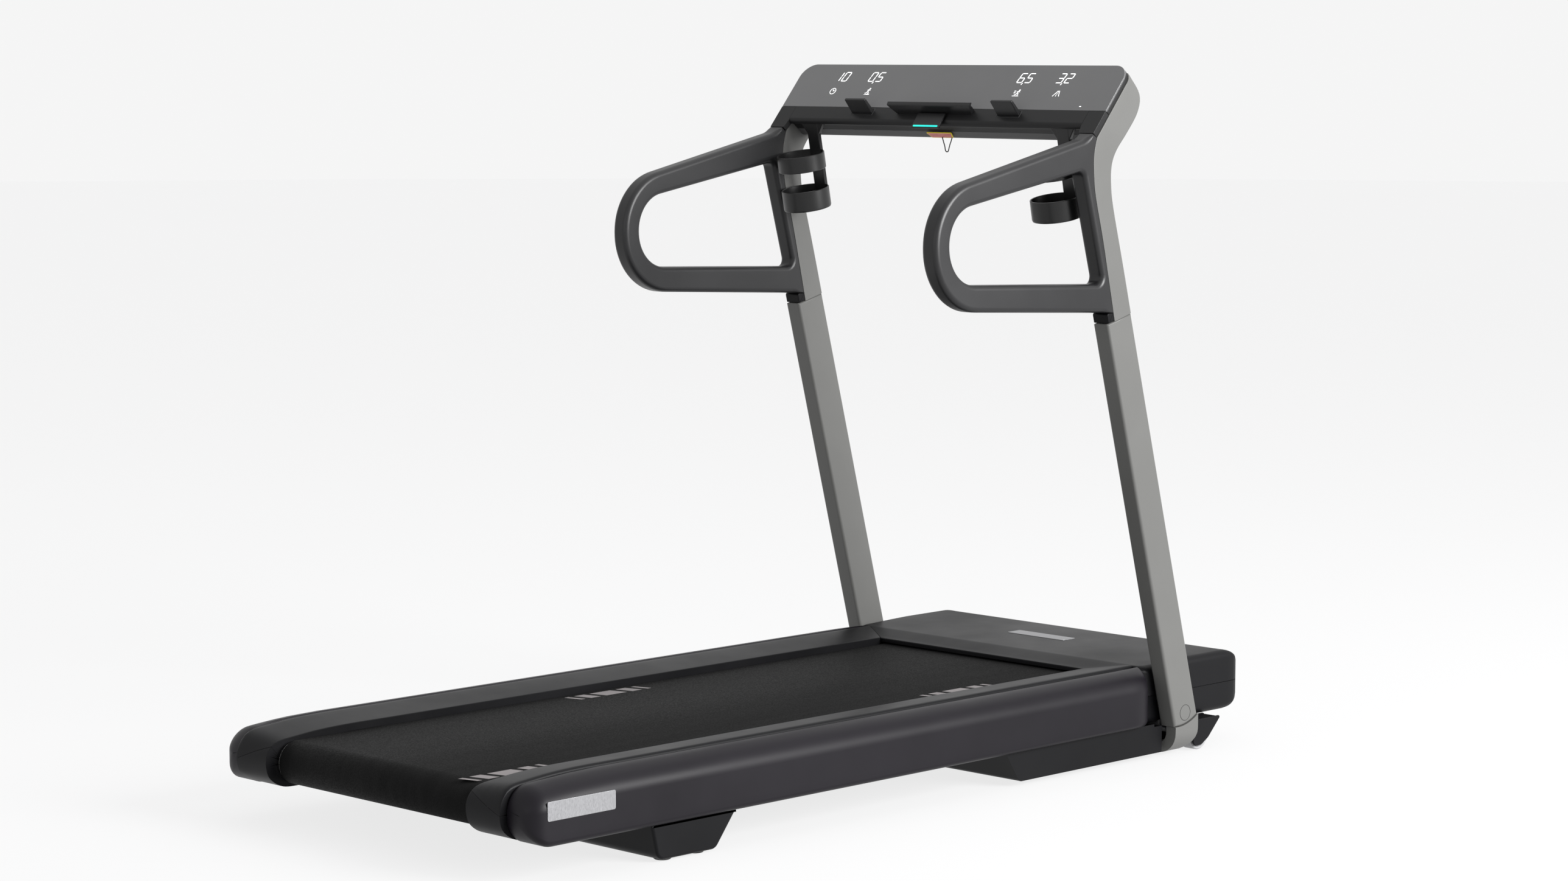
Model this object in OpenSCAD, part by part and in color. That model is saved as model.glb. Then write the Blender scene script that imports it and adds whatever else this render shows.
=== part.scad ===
// Home treadmill: running deck, two leaning uprights, loop handles and a glass-faced console.
// +X is the user's right, +Y is forward, +Z is up. Z = 0 is the floor.

/* [Deck] */
// Y of the rear end of the deck, behind the user
rear_y = -886; // [-896:1:-880]
// Y of the front end of the hood
front_y = 884; // [880:1:890]
// Width of the opening that shows the running belt
belt_opening = 498; // [490:1:500]
// Height of the covers along the edge of the belt
rail_inner_z = 153; // [152:0.5:154]
// Half width of the deck over the side panels
panel_out_x = 387.5; // [386:0.5:389]
// Height of the top of the running belt
belt_top_z = 143; // [142:0.5:143]
// Thickness of the running belt
belt_t = 3; // [2:0.5:3]
// Width of the running belt
belt_w = 480; // [470:1:484]

/* [Rollers] */
// Radius of both rollers
roller_r = 32.7; // [32:0.1:33]
// Y of the rear roller's axle
rear_roller_y = -830; // [-832:1:-826]
// Y of the front roller's axle
front_roller_y = 625; // [615:1:630]
// Radius of the roller axles
axle_r = 8; // [7:0.5:8]

/* [Uprights] */
// Half width of the machine over the uprights
upright_out_x = 392.5; // [392:0.5:393]
// Thickness of uprights, arms and handles along X
upright_t = 35; // [34:0.5:36]
// Depth of the uprights, square to their length
upright_d = 65; // [64:0.5:66]
// Backward lean of the uprights
lean = 15; // [14.5:0.5:15.5]
// Length of the uprights above the clamp bolt
upright_len = 739; // [735:1:742]

/* [Console] */
// Angle of the console face from vertical
face_tilt = 40; // [39:0.5:41]
// Height of the display glass along the face
glass_h = 101; // [98:1:102]
// Width of the console
console_w = 782; // [780:1:784]
// X of the middle of each lever
lever_x = 177; // [170:1:185]
// Width of each lever
lever_w = 50; // [44:1:52]

/* [Bottle holders] */
// X of the middle of each bottle holder
holder_x = 303; // [300:1:304]
// Outer radius of the rings
holder_r = 44; // [40:1:45]
// Backward lean of the rings
holder_lean = 11; // [10:1:12]

/* [Lift] */
// Y of the lift frame's pivot
pivot_y = 440; // [436:1:442]
// Height of the lift frame's pivot
pivot_z = 45; // [44:1:46]
// Y of the front wheels' axle
wheel_y = 729; // [729:1:731]
// Radius of the front wheels
wheel_r = 26; // [25:0.5:26]

/* [Hidden] */
$fn = 64;
wall = 3;
run_gap = 0.05;
free_gap = 0.3;
pin_y = 665;
pin_z = 77.6;
open_x = belt_opening / 2;
crest_x = 320;
crest_z = 162;
rail_out_x = 327;
panel_in_x = 336;
panel_top_z = 161.5;
panel_bottom_z = 62;
hood_inner_y = 551.5;
hood_half_w = 352;
hood_seam_z = 109;
hood_top_z = 166;
cover_bottom_z = 57;
frame_x0 = 290;
frame_x1 = 320;
frame_z0 = 75;
frame_z1 = 132;
cross_z0 = 80;
cross_z1 = 105;
cross_ys = [-600, -200, 200, 500];
board_z1 = belt_top_z - belt_t - free_gap;
board_t = 20;
roller_z = belt_top_z - belt_t - roller_r - free_gap;
arm_in_x = upright_out_x - upright_t;
pulley_x = -272;
roller_pulley_r = 42;
motor_pulley_r = 16;
motor_y = 778;
motor_z = 110;
motor_r = 44;
horn_r = 60;
lift_swing = 33;
switch_swing = 14;
lift_arm_x = 268;
screw_x = 251;
screw_z = 102;
pan_x = 372;
pan_neck_x = 314;
pan_bottom_z = 9;
glass_t = 4;
face_t = 11;
lever_pin_r = 2.5;
paddle_pin_r = 1.5;
glass_y = 432;
glass_z = 1150;
lever_axis_s = 10;
lever_axis_n = -14;
paddle_s = 17;
paddle_n = -5;
key_y = 443;
key_z = 1104.5;
key_angle = -38;

// ---- outlines: each point is [across, up, corner radius] ----
function unit(v) = v / norm(v);
function wrap(a) = a > 180 ? a - 360 : a < -180 ? a + 360 : a;
function corner(a, b, c, r, n) = r <= 0 ? [b] :
    let (u = unit(a - b), v = unit(c - b), half = acos(u * v) / 2,
        o = b + unit(u + v) * r / sin(half), s = b + u * r / tan(half), e = b + v * r / tan(half),
        a0 = atan2(s.y - o.y, s.x - o.x), turn = wrap(atan2(e.y - o.y, e.x - o.x) - a0))
    [for (i = [0:n]) o + r * [cos(a0 + turn * i / n), sin(a0 + turn * i / n)]];
function flat2(p) = [p.x, p.y];
function rounded(p, n = 6) = let (k = len(p))
    [for (i = [0:k - 1])
        each corner(flat2(p[(i + k - 1) % k]), flat2(p[i]), flat2(p[(i + 1) % k]), p[i].z, n)];
function box2(x0, y0, x1, y1, r) = [[x0, y0, r], [x1, y0, r], [x1, y1, r], [x0, y1, r]];

// A (Y, Z) outline drawn out along X
module along_x(x0, x1) {
    translate([x0, 0, 0]) rotate([90, 0, 90]) linear_extrude(x1 - x0) children();
}
// An (X, Z) outline drawn out along Y
module along_y(y0, y1) {
    translate([0, y1, 0]) rotate([90, 0, 0]) linear_extrude(y1 - y0) children();
}
module box(x0, x1, y0, y1, z0, z1) {
    translate([x0, y0, z0]) cube([x1 - x0, y1 - y0, z1 - z0]);
}
module rod_x(x0, x1, y, z, r) {
    translate([x0, y, z]) rotate([0, 90, 0]) cylinder(h = x1 - x0, r = r);
}
module rod_y(x, y0, y1, z, r) {
    translate([x, y1, z]) rotate([90, 0, 0]) cylinder(h = y1 - y0, r = r);
}
module left() {
    mirror([1, 0, 0]) children();
}
module both() {
    children();
    left() children();
}
// Upright frame: across is square to the lean, up runs along the upright, centred on the clamp bolt
module lean_frame() {
    translate([0, pin_y, pin_z]) rotate([lean, 0, 0]) children();
}
// Console face frame: X across, +Y into the console, +Z up the face
module face_frame() {
    translate([0, glass_y, glass_z]) rotate([-face_tilt, 0, 0]) children();
}
module face_x(x0, x1) {
    face_frame() mirror([0, 1, 0]) along_x(x0, x1) children();
}

// ---- steel frame ----
module frame_rail() {
    difference() {
        union() {
            difference() {
                box(frame_x0, frame_x1, -845, 845, frame_z0, frame_z1);
                box(frame_x0 + 2.5, frame_x1 - 2.5, -843, 843, frame_z0 + 2.5, frame_z1 - 2.5);
            }
            for (y = [rear_roller_y, front_roller_y]) {
                box(frame_x0, frame_x1, y - 20, y + 20, frame_z0, frame_z1);
            }
            // hanger that carries the lift pivot
            box(frame_x0, frame_x1, pivot_y - 18, pivot_y + 18, pivot_z - 18, frame_z0 + 2.5);
            // outrigger that carries the upright
            box(frame_x1 - 2.5, 348, 642, 696, 24, 92);
            box(346, 371, 642, 696, 43, 52);
            rod_x(346, arm_in_x, pin_y, pin_z, 14);
        }
        for (y = [rear_roller_y, front_roller_y]) {
            rod_x(frame_x0 - 1, frame_x1 + 1, y, roller_z, axle_r + run_gap);
        }
        rod_x(frame_x0 - 1, frame_x1 + 1, pivot_y, pivot_z, 8 + run_gap);
        rod_x(328, 360, pin_y, pin_z, 8 + run_gap);
    }
}
module frame_rails() {
    color("dimgray") both() frame_rail();
}
module frame_crossmembers() {
    color("dimgray") for (y = cross_ys) {
        difference() {
            box(-frame_x0, frame_x0, y - 20, y + 20, cross_z0, cross_z1);
            box(-frame_x0 - 1, frame_x0 + 1, y - 17.5, y + 17.5, cross_z0 + 2.5, cross_z1 - 2.5);
        }
    }
}

// ---- rear foot ----
foot_outline = [[-615, 61.5, 0], [-601, 3, 16], [-477, 3, 16], [-431, 61.5, 0]];
foot_cavity = [[-612, 62, 0], [-598, 6, 13], [-480, 6, 13], [-437, 62, 0]];
module rear_foot() {
    color([0.1, 0.1, 0.11]) {
        difference() {
            along_x(-pan_x, pan_x) polygon(rounded(foot_outline));
            along_x(-pan_x + wall, pan_x - wall) polygon(rounded(foot_cavity));
        }
        both() box(frame_x0, frame_x1, -600, -450, 5, frame_z0);
    }
}
module rear_foot_pads() {
    color([0.06, 0.06, 0.06]) both() for (y = [-575, -505]) {
        translate([352, y, 0]) cylinder(h = 3, r = 14);
    }
}

// ---- belly pan ----
module pan_shape(inset) {
    outline = [[208 + inset, 61.5 + inset, 0], [242 + inset, pan_bottom_z + inset, 12],
        [690 - inset, pan_bottom_z + inset, 20], [690 - inset, 61.5 + inset, 0]];
    along_x(-pan_x + inset, pan_x - inset) polygon(rounded(outline));
}
module belly_pan() {
    color([0.1, 0.1, 0.11]) difference() {
        pan_shape(0);
        pan_shape(wall);
        // room for the cover in front
        box(-400, 400, 604, 700, 56.5, 62);
        // slots that the lift arms swing through
        both() box(lift_arm_x - 12, lift_arm_x + 12, pivot_y + 18, 700, -1, 62);
        // recesses beside the feet
        both() box(pan_neck_x, 400, 625, 700, -1, 60);
    }
    color([0.1, 0.1, 0.11]) both() {
        box(pan_neck_x - wall, pan_neck_x, 625, 688, pan_bottom_z + 3, 56.5);
        box(pan_neck_x - wall, pan_x, 625 - wall, 625, pan_bottom_z + 3, 56.5);
        for (y = [290, 560]) {
            box(frame_x0 + 8, frame_x1 - 8, y - 10, y + 10, pan_bottom_z + 3, frame_z0);
        }
    }
}

// ---- running surface ----
module deck_board() {
    color("saddlebrown") difference() {
        box(-278, 278, -780, 560, board_z1 - board_t, board_z1);
        both() for (y = cross_ys) {
            translate([262, y, board_z1 - board_t - 1]) cylinder(h = board_t + 2, r = 3 + run_gap);
            translate([262, y, board_z1 - 4]) cylinder(h = 5, r = 6.3);
        }
    }
}
module deck_cushions() {
    color([0.15, 0.15, 0.16]) both() for (y = cross_ys) {
        difference() {
            translate([262, y, cross_z1]) cylinder(h = board_z1 - board_t - cross_z1, r = 15);
            translate([262, y, cross_z1 - 1]) cylinder(h = 40, r = 3.5);
        }
    }
}
module deck_screws() {
    color("silver") both() for (y = cross_ys) {
        translate([262, y, cross_z1 + 0.5]) cylinder(h = board_z1 - 4 - cross_z1 - 0.5, r = 3);
        translate([262, y, board_z1 - 4]) cylinder(h = 3.5, r = 6);
    }
}
// Closed loop round two circles of one radius
module belt_loop(r, y0, z0, y1, z1) {
    a = atan2(z1 - z0, y1 - y0);
    translate([y0, z0]) circle(r);
    translate([y1, z1]) circle(r);
    translate([y0, z0]) rotate(a) translate([0, -r]) square([norm([y1 - y0, z1 - z0]), 2 * r]);
}
module running_belt() {
    color([0.13, 0.13, 0.13]) along_x(-belt_w / 2, belt_w / 2) difference() {
        belt_loop(roller_r + free_gap + belt_t, rear_roller_y, roller_z, front_roller_y, roller_z);
        belt_loop(roller_r + free_gap, rear_roller_y, roller_z, front_roller_y, roller_z);
    }
}
module roller(y, half) {
    difference() {
        rod_x(-half, half, y, roller_z, roller_r);
        rod_x(-half - 1, half + 1, y, roller_z, axle_r + run_gap);
        rod_x(-half + 18, half - 18, y, roller_z, roller_r - 3);
    }
}
module front_roller() {
    color("silver") roller(front_roller_y, 246);
}
module rear_roller() {
    color("silver") roller(rear_roller_y, 246);
}
module roller_pulley() {
    color("gray") difference() {
        union() {
            rod_x(pulley_x - 11, pulley_x + 11, front_roller_y, roller_z, roller_pulley_r);
            rod_x(pulley_x + 10, -246, front_roller_y, roller_z, 22);
        }
        rod_x(pulley_x - 12, -240, front_roller_y, roller_z, axle_r + run_gap);
    }
}
module roller_axles() {
    color("silver") for (y = [rear_roller_y, front_roller_y]) {
        rod_x(-frame_x1, frame_x1, y, roller_z, axle_r);
    }
}

// ---- top rails, end caps and side panels ----
nose_bottom_z = 66;
module rail_shape(inset) {
    side = [[620, 166, 0], [-720, 164 - inset, 300], [rear_y + inset, 140 - inset, 34 - inset],
        [rear_y + inset, nose_bottom_z + inset, 38 - inset], [620, nose_bottom_z + inset, 0]];
    section = [[open_x + inset, 40, 0], [open_x + inset, rail_inner_z - inset, inset > 0 ? 0 : 1.2],
        [crest_x, crest_z - inset, 2], [rail_out_x - inset, crest_z - 3 - inset, inset > 0 ? 0 : 2],
        [rail_out_x - inset, 40, 0]];
    intersection() {
        along_x(open_x + inset, rail_out_x - inset) polygon(rounded(side, 10));
        along_y(-900, 610) polygon(rounded(section));
    }
}
// Everything above the slanted seam on the nose
module above_seam(y1, gap) {
    translate([open_x, -900, 136 - gap]) rotate([0, 19, 0]) translate([-40, 0, 0]) cube([150, y1 + 900, 80]);
}
module rail_shell() {
    difference() {
        rail_shape(0);
        rail_shape(wall);
        box(open_x - 10, rail_out_x + 10, -800, 700, 40, 144);
    }
}
module top_rail() {
    difference() {
        rail_shell();
        // the end cap takes over below the seam on the nose
        difference() {
            box(open_x - 10, rail_out_x + 10, -900, -800, 40, 180);
            above_seam(-799, 0);
        }
        // mitre against the hood
        linear_extrude(200) polygon([[open_x - 1, hood_inner_y - 1.2], [crest_x, 596.5], [340, 596.5],
            [340, 700], [open_x - 1, 700]]);
    }
    for (y = [-700, -250, 200, 520]) {
        box(frame_x0 + 10, frame_x0 + 16, y - 25, y + 25, frame_z1, 157);
    }
}
module end_cap() {
    difference() {
        rail_shape(0);
        rail_shape(wall);
        box(open_x - 10, rail_out_x + 10, -800.4, 700, 40, 200);
        above_seam(-700, 0.4);
        // room for the roller axle
        box(open_x - 1, open_x + wall + 1, rear_roller_y - 15, -790, roller_z - 15, roller_z + 15);
    }
}
module left_top_rail() {
    color([0.14, 0.14, 0.15]) left() top_rail();
}
module right_top_rail() {
    color([0.14, 0.14, 0.15]) top_rail();
}
module end_caps() {
    color([0.14, 0.14, 0.15]) both() end_cap();
}
module panel_shape(inset) {
    side = [[640, panel_top_z - inset, 0], [-770, panel_top_z - inset, 300],
        [-872 + inset, 148 - inset, 34 - inset],
        [-872 + inset, panel_bottom_z + inset, 42 - inset], [640, panel_bottom_z + inset, 0]];
    section = [[panel_in_x - 40, panel_bottom_z + inset, 0],
        [panel_out_x - inset, panel_bottom_z + inset, 10 - inset],
        [panel_out_x - inset, panel_top_z - inset, 36 - inset],
        [panel_in_x - inset, panel_top_z - 2 - inset, 0],
        [panel_in_x - inset, 120, 0], [panel_in_x - 40, 120, 0]];
    plan = [[panel_in_x - inset, -872 + inset, 0], [panel_out_x - inset, -872 + inset, 33 - inset],
        [panel_out_x - inset, 580 - inset, 60], [353, 605.5 - inset, 1], [345.6, 596.5 - inset, 0],
        [panel_in_x - inset, 596.5 - inset, 0]];
    intersection() {
        along_x(panel_in_x - inset, panel_out_x - inset) polygon(rounded(side, 10));
        along_y(-900, 640) polygon(rounded(section, 8));
        linear_extrude(200) polygon(rounded(plan, 8));
    }
}
module side_panel() {
    difference() {
        panel_shape(0);
        panel_shape(wall);
    }
    for (y = [-760, -300, 60, 400]) {
        box(frame_x1, panel_out_x - 1, y - 4, y + 4, 84, 124);
    }
    // floor of the groove beside the rail
    box(frame_x1 + 1, panel_in_x + wall, -799, 590, 139, 142);
    box(panel_in_x, panel_in_x + wall, -850, 590, 139, 157);
}
module left_side_panel() {
    color([0.12, 0.11, 0.13]) left() side_panel();
}
module right_side_panel() {
    color([0.12, 0.11, 0.13]) side_panel();
}

// ---- hood and front cover ----
module hood_shape(inset) {
    side = [[hood_inner_y - 2, rail_inner_z - 0.4 - inset, 0], [600, hood_top_z - 3.6 - inset, 150],
        [700, hood_top_z - 0.5 - inset, 200], [front_y - inset, hood_top_z - inset, 54 - inset],
        [front_y - inset, cover_bottom_z + inset, 50 - inset],
        [hood_inner_y - 2, cover_bottom_z + inset, 0]];
    plan = [[-open_x, hood_inner_y, 0], [open_x, hood_inner_y, 0], [crest_x, 597, 0], [345, 597, 6],
        [hood_half_w - inset, 606, 4], [hood_half_w - inset, front_y - inset, 36 - inset],
        [-hood_half_w + inset, front_y - inset, 36 - inset], [-hood_half_w + inset, 606, 4],
        [-345, 597, 6], [-crest_x, 597, 0]];
    section = box2(-hood_half_w + inset, cover_bottom_z + inset,
        hood_half_w - inset, hood_top_z - inset, 14 - inset);
    intersection() {
        along_x(-400, 400) polygon(rounded(side, 12));
        linear_extrude(200) polygon(rounded(plan, 8));
        along_y(500, 900) polygon(rounded(section, 8));
    }
}
module hood() {
    color([0.15, 0.15, 0.15]) {
        difference() {
            hood_shape(0);
            hood_shape(wall);
            box(-400, 400, 500, 900, 0, hood_seam_z);
            box(-330, 330, 500, 604, 0, 145);
        }
        // lip along the belt
        box(-open_x, open_x, hood_inner_y, hood_inner_y + wall, 145, 151);
        for (x = [-305, 305]) {
            box(x - 3, x + 3, 700, 760, frame_z1, 163);
        }
    }
}
module front_lower_cover() {
    color([0.14, 0.14, 0.15]) difference() {
        hood_shape(0);
        hood_shape(wall);
        box(-400, 400, 500, 900, hood_seam_z - 0.4, 200);
        box(-400, 400, 500, 606, 0, 200);
        // openings for the frame outriggers
        both() box(316, 360, 636, 700, 50, 96);
        // switch and inlet openings
        box(-200, -146, front_y - 30, front_y + 5, 78, 100);
        box(-133, -101, front_y - 36, front_y + 5, 75, 103);
    }
}
module badge_plates() {
    color("silver") {
        // on the hood
        difference() {
            translate([0, 0, 161]) linear_extrude(4.3) polygon(rounded(box2(-72, 709, 68, 745, 3)));
            hood_shape(0);
        }
        // on the side panels
        both() along_x(panel_out_x, panel_out_x + 0.7) polygon(rounded([[-845, 103, 3], [-705, 103, 3],
            [-705, 133, 3], [-845, 133, 3]]));
    }
}

// ---- drive ----
module motor_case() {
    color("dimgray") difference() {
        rod_x(-230, -90, motor_y, motor_z, motor_r);
        rod_x(-231, -89, motor_y, motor_z, 6 + run_gap);
    }
}
module motor_bracket() {
    color("gray") difference() {
        union() {
            box(-frame_x1, frame_x1, motor_y - 40, motor_y + 40, 61, 64);
            both() box(frame_x0, frame_x1, motor_y - 40, motor_y + 40, 63, frame_z0);
            box(-215, -105, motor_y - 38, motor_y + 38, 63, motor_z - 18);
        }
        rod_x(-231, -89, motor_y, motor_z, motor_r);
    }
}
// Shaft, fan flywheel and drive pulley, pressed together
module motor_rotor() {
    color("silver") {
        rod_x(-284, -60, motor_y, motor_z, 6);
        rod_x(-82, -62, motor_y, motor_z, 38);
        rod_x(pulley_x - 11, pulley_x + 11, motor_y, motor_z, motor_pulley_r);
    }
}
module pulley_wrap(gap) {
    hull() {
        translate([front_roller_y, roller_z]) circle(roller_pulley_r + gap);
        translate([motor_y, motor_z]) circle(motor_pulley_r + gap);
    }
}
module drive_belt() {
    color([0.1, 0.1, 0.1]) along_x(pulley_x - 8, pulley_x + 8) difference() {
        pulley_wrap(free_gap + 3.1);
        pulley_wrap(free_gap + 0.1);
    }
}
module motor_controller() {
    color("darkgreen") box(30, 230, 742, 815, 64.5, 67);
    color("dimgray") box(40, 220, 750, 805, 67, 118);
}
module power_inlet() {
    color([0.08, 0.08, 0.08]) difference() {
        box(-198, -148, front_y - 28, front_y - 6, 80, 98);
        box(-190, -156, front_y - 20, front_y - 5, 84, 94);
    }
    color([0.08, 0.08, 0.08]) difference() {
        box(-132, -102, front_y - 34, front_y - 6, 76, 102);
        box(-128, -106, front_y - 24, front_y - 5, 78.5, 99.5);
        rod_x(-130.1, -103.9, front_y - 14, 89, 1.5 + run_gap);
    }
}
module power_switch() {
    color([0.5, 0.06, 0.05]) translate([-117, front_y - 14, 89]) rotate([-switch_swing / 2, 0, 0]) {
        rod_x(-13, 13, 0, 0, 1.5);
        along_x(-10, 10) polygon(rounded([[-4, -8, 1], [7, -9, 1], [5, 0, 8], [7, 9, 1], [-4, 8, 1]]));
    }
}

// ---- lift ----
module lift_motor() {
    color("dimgray") difference() {
        box(screw_x - 10.5, frame_x0 - 3, 220, 345, 86, 118);
        rod_y(screw_x, 230, 346, screw_z, 9 + run_gap);
    }
}
module lift_screw_tube() {
    color("silver") difference() {
        union() {
            rod_y(screw_x, 240, 400, screw_z, 9);
            box(screw_x - 10, screw_x + 10, 398, 436, 92, 114);
        }
        // fork that straddles the horn, open toward it
        box(screw_x - 4.5, screw_x + 4.5, 406, 437, 91, 115);
    }
}
module lift_pivot_shaft() {
    color("silver") rod_x(-frame_x1, frame_x1, pivot_y, pivot_z, 8);
}
module lift_pivot_tube() {
    color("dimgray") difference() {
        union() {
            rod_x(-frame_x0 + 2, frame_x0 - 2, pivot_y, pivot_z, 13);
            // horn pushed by the screw tube
            translate([0, pivot_y, pivot_z]) rotate([lift_swing / 2, 0, 0])
                box(screw_x - 3, screw_x + 3, -9, 9, 5, horn_r - 2);
        }
        rod_x(-frame_x0, frame_x0, pivot_y, pivot_z, 8 + run_gap);
    }
}
module lift_arms() {
    length = norm([wheel_y - pivot_y, wheel_r - pivot_z]);
    drop = atan2(wheel_r - pivot_z, wheel_y - pivot_y);
    color("dimgray") both() difference() {
        translate([0, pivot_y, pivot_z]) rotate([drop, 0, 0])
            box(lift_arm_x - 6, lift_arm_x + 6, 0, length, -11, 11);
        rod_x(lift_arm_x - 7, lift_arm_x + 7, pivot_y, pivot_z, 13);
        rod_x(lift_arm_x - 7, lift_arm_x + 7, wheel_y, wheel_r, 9);
    }
}
module lift_axle() {
    color("silver") {
        rod_x(-346, 346, wheel_y, wheel_r, 9);
        rod_x(-378, 378, wheel_y, wheel_r, 6);
    }
}
module wheel_guards() {
    outline = [[706, 56, 4], [706, 9, 8], [728, 9, 12], [748, 20, 30], [784, 56, 8]];
    color([0.1, 0.1, 0.11]) both() difference() {
        union() {
            along_x(376, 380) polygon(rounded(outline));
            box(340, 380, 712, 774, 53, 56);
            along_x(340, 344) polygon(rounded(outline));
        }
        rod_x(330, 346, wheel_y, wheel_r, 9);
        rod_x(345, 378, wheel_y, wheel_r, 6);
    }
}
module wheel() {
    color([0.45, 0.45, 0.46]) difference() {
        rod_x(347, 373, wheel_y, wheel_r, wheel_r);
        rod_x(345, 375, wheel_y, wheel_r, 6 + run_gap);
        rod_x(366, 375, wheel_y, wheel_r, wheel_r - 8);
    }
}
module left_wheel() {
    left() wheel();
}
module right_wheel() {
    wheel();
}

// ---- uprights ----
arc_r = 99;
arc_v = 78;
module upright_block(v0, v1) {
    section = box2(arm_in_x, -upright_d / 2, upright_out_x, upright_d / 2, 6);
    translate([0, 0, v0]) linear_extrude(v1 - v0) polygon(rounded(section, 5));
}
module upright() {
    color([0.5, 0.5, 0.49]) lean_frame() difference() {
        intersection() {
            upright_block(-24, upright_len);
            union() {
                rod_x(350, 400, 0, arc_v, arc_r);
                box(350, 400, -60, 60, 60, 800);
            }
        }
        translate([0, 0, 60]) linear_extrude(upright_len - 80)
            polygon(rounded(box2(arm_in_x + wall, -upright_d / 2 + wall,
                upright_out_x - wall, upright_d / 2 - wall, 3)));
        rod_x(350, 400, 0, 0, 8 + run_gap);
        rod_x(384, 400, 0, 0, 14.3);
    }
}
module left_upright() {
    left() upright();
}
module right_upright() {
    upright();
}
module upright_feet() {
    section = [[371, 80, 0], [upright_out_x, 80, 0], [upright_out_x, 5, 38], [337, 5, 3], [337, 22, 2],
        [371, 22, 20]];
    side = [[639, 3, 4], [702, 3, 44], [702, 90, 0], [639, 90, 0]];
    color([0.46, 0.46, 0.44]) both() difference() {
        intersection() {
            along_y(600, 720) polygon(rounded(section, 8));
            along_x(330, 400) polygon(rounded(side, 8));
        }
        lean_frame() rod_x(330, 400, 0, arc_v, arc_r + 0.6);
        lean_frame() box(330, 400, -80, 80, 0, 60);
    }
}
module clamp_bolts() {
    color("silver") both() lean_frame() {
        rod_x(330, 385, 0, 0, 8);
        rod_x(384, 390, 0, 0, 13);
    }
}
module bolt_caps() {
    color([0.5, 0.5, 0.49]) both() lean_frame() rod_x(390, upright_out_x, 0, 0, 14);
}

// ---- upper arms and handles ----
seam_line = [[460, 788, 0], [427, 929, 200], [400, 1030, 120], [402, 1085, 60], [409, 1104.6, 0]];
module upper_arm() {
    outline = concat(seam_line,
        [[503, 1216.6, 0], [519, 1198, 16], [530, 1165, 20],
        [450, 1060, 60], [450, 1010, 100], [506.5, 801, 0]]);
    intersection() {
        along_x(arm_in_x, upright_out_x) polygon(rounded(outline, 8));
        face_frame() along_y(-100, 400)
            polygon(rounded(box2(-upright_out_x, -500, upright_out_x, glass_h, 31), 8));
    }
}
module left_upper_arm() {
    color([0.52, 0.52, 0.51]) left() upper_arm();
}
module right_upper_arm() {
    color([0.52, 0.52, 0.51]) upper_arm();
}
handle_outline = concat(
    [[399.8, 1111.4, 0], [378, 1101.4, 30], [3, 1017.6, 109], [3, 825.4, 109], [441, 803, 0], [456.2, 803, 0]],
    [for (i = [1:4]) seam_line[i] - [0.4, 0, 0]]);
handle_hole = [[376.5, 1047.6, 11], [42, 987.4, 65.5], [42, 868, 65.5], [430.5, 853.2, 11]];
module handle() {
    difference() {
        along_x(arm_in_x, upright_out_x) polygon(rounded(handle_outline, 12));
        along_x(arm_in_x - 1, upright_out_x + 1) polygon(rounded(handle_hole, 12));
    }
}
module left_handle() {
    color([0.25, 0.25, 0.26]) left() handle();
}
module right_handle() {
    color([0.25, 0.25, 0.26]) handle();
}
module handle_end_blocks() {
    color([0.08, 0.08, 0.08]) both()
        along_x(arm_in_x + 0.5, upright_out_x - 0.5)
            polygon([[444.6, 784.5], [459.6, 788.4], [456.4, 802.6], [440, 802.6]]);
}

// ---- console ----
// Outlines drawn by face_x are [out of the face, up the face]
module both_sides_of(x) {
    translate([x, 0, 0]) both() children();
}
module console_face() {
    color([0.11, 0.11, 0.11]) difference() {
        union() {
            // tray behind the glass
            face_frame() along_y(glass_t + 0.2, face_t)
                polygon(rounded([[-console_w / 2, -1, 0], [console_w / 2, -1, 0],
                    [console_w / 2, glass_h - 1, 30], [-console_w / 2, glass_h - 1, 30]], 8));
            // band below the glass, down to its rolled lower lip
            face_x(-arm_in_x + 0.5, arm_in_x - 0.5)
                polygon(rounded([[-face_t, 0, 0], [-face_t, -30, 3], [-9, -34, 2], [0, -31, 5], [0, 0, 0.5]]));
            // both ends run down to the handles
            both() face_x(arm_in_x - 4, console_w / 2)
                polygon([[-face_t, 0], [-face_t, -49.2], [0, -49.2], [0, 0]]);
            // bosses for the lever pins
            for (x = [-lever_x, lever_x]) both_sides_of(x) face_x(lever_w / 2 + 2, lever_w / 2 + 8)
                polygon(rounded([[-10, -2, 0], [-10, -18, 0], [-20, -18, 3], [-20, -2, 3]]));
        }
        for (x = [-lever_x, lever_x]) {
            face_x(x - lever_w / 2 - 1, x + lever_w / 2 + 1)
                polygon([[-21, -2.4], [1, -2.4], [1, -19], [-21, -19]]);
            both_sides_of(x) face_x(lever_w / 2, lever_w / 2 + 9) lever_axis() circle(lever_pin_r + run_gap);
        }
        face_x(-34, 34) polygon([[-12, -13], [1, -13], [1, -23], [-12, -23]]);
        face_x(-39, 39) paddle_axis() circle(paddle_pin_r + run_gap);
    }
}
module lever_axis() {
    translate([lever_axis_n, -lever_axis_s]) children();
}
module paddle_axis() {
    translate([paddle_n, -paddle_s]) children();
}
cover_outline = [[505.6, 1219.7, 0], [520, 1198, 14], [530, 1165, 20], [470, 1097, 6], [452, 1099, 3],
    [437, 1110, 4], [428, 1118, 3], [424, 1123, 0], [436, 1137.6, 0]];
cover_cavity = [[501, 1217, 0], [515, 1196, 12], [525, 1165, 16], [470, 1101, 4], [453, 1102.5, 3],
    [438, 1113.5, 0], [430, 1120.5, 0], [426, 1126, 0]];
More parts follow.
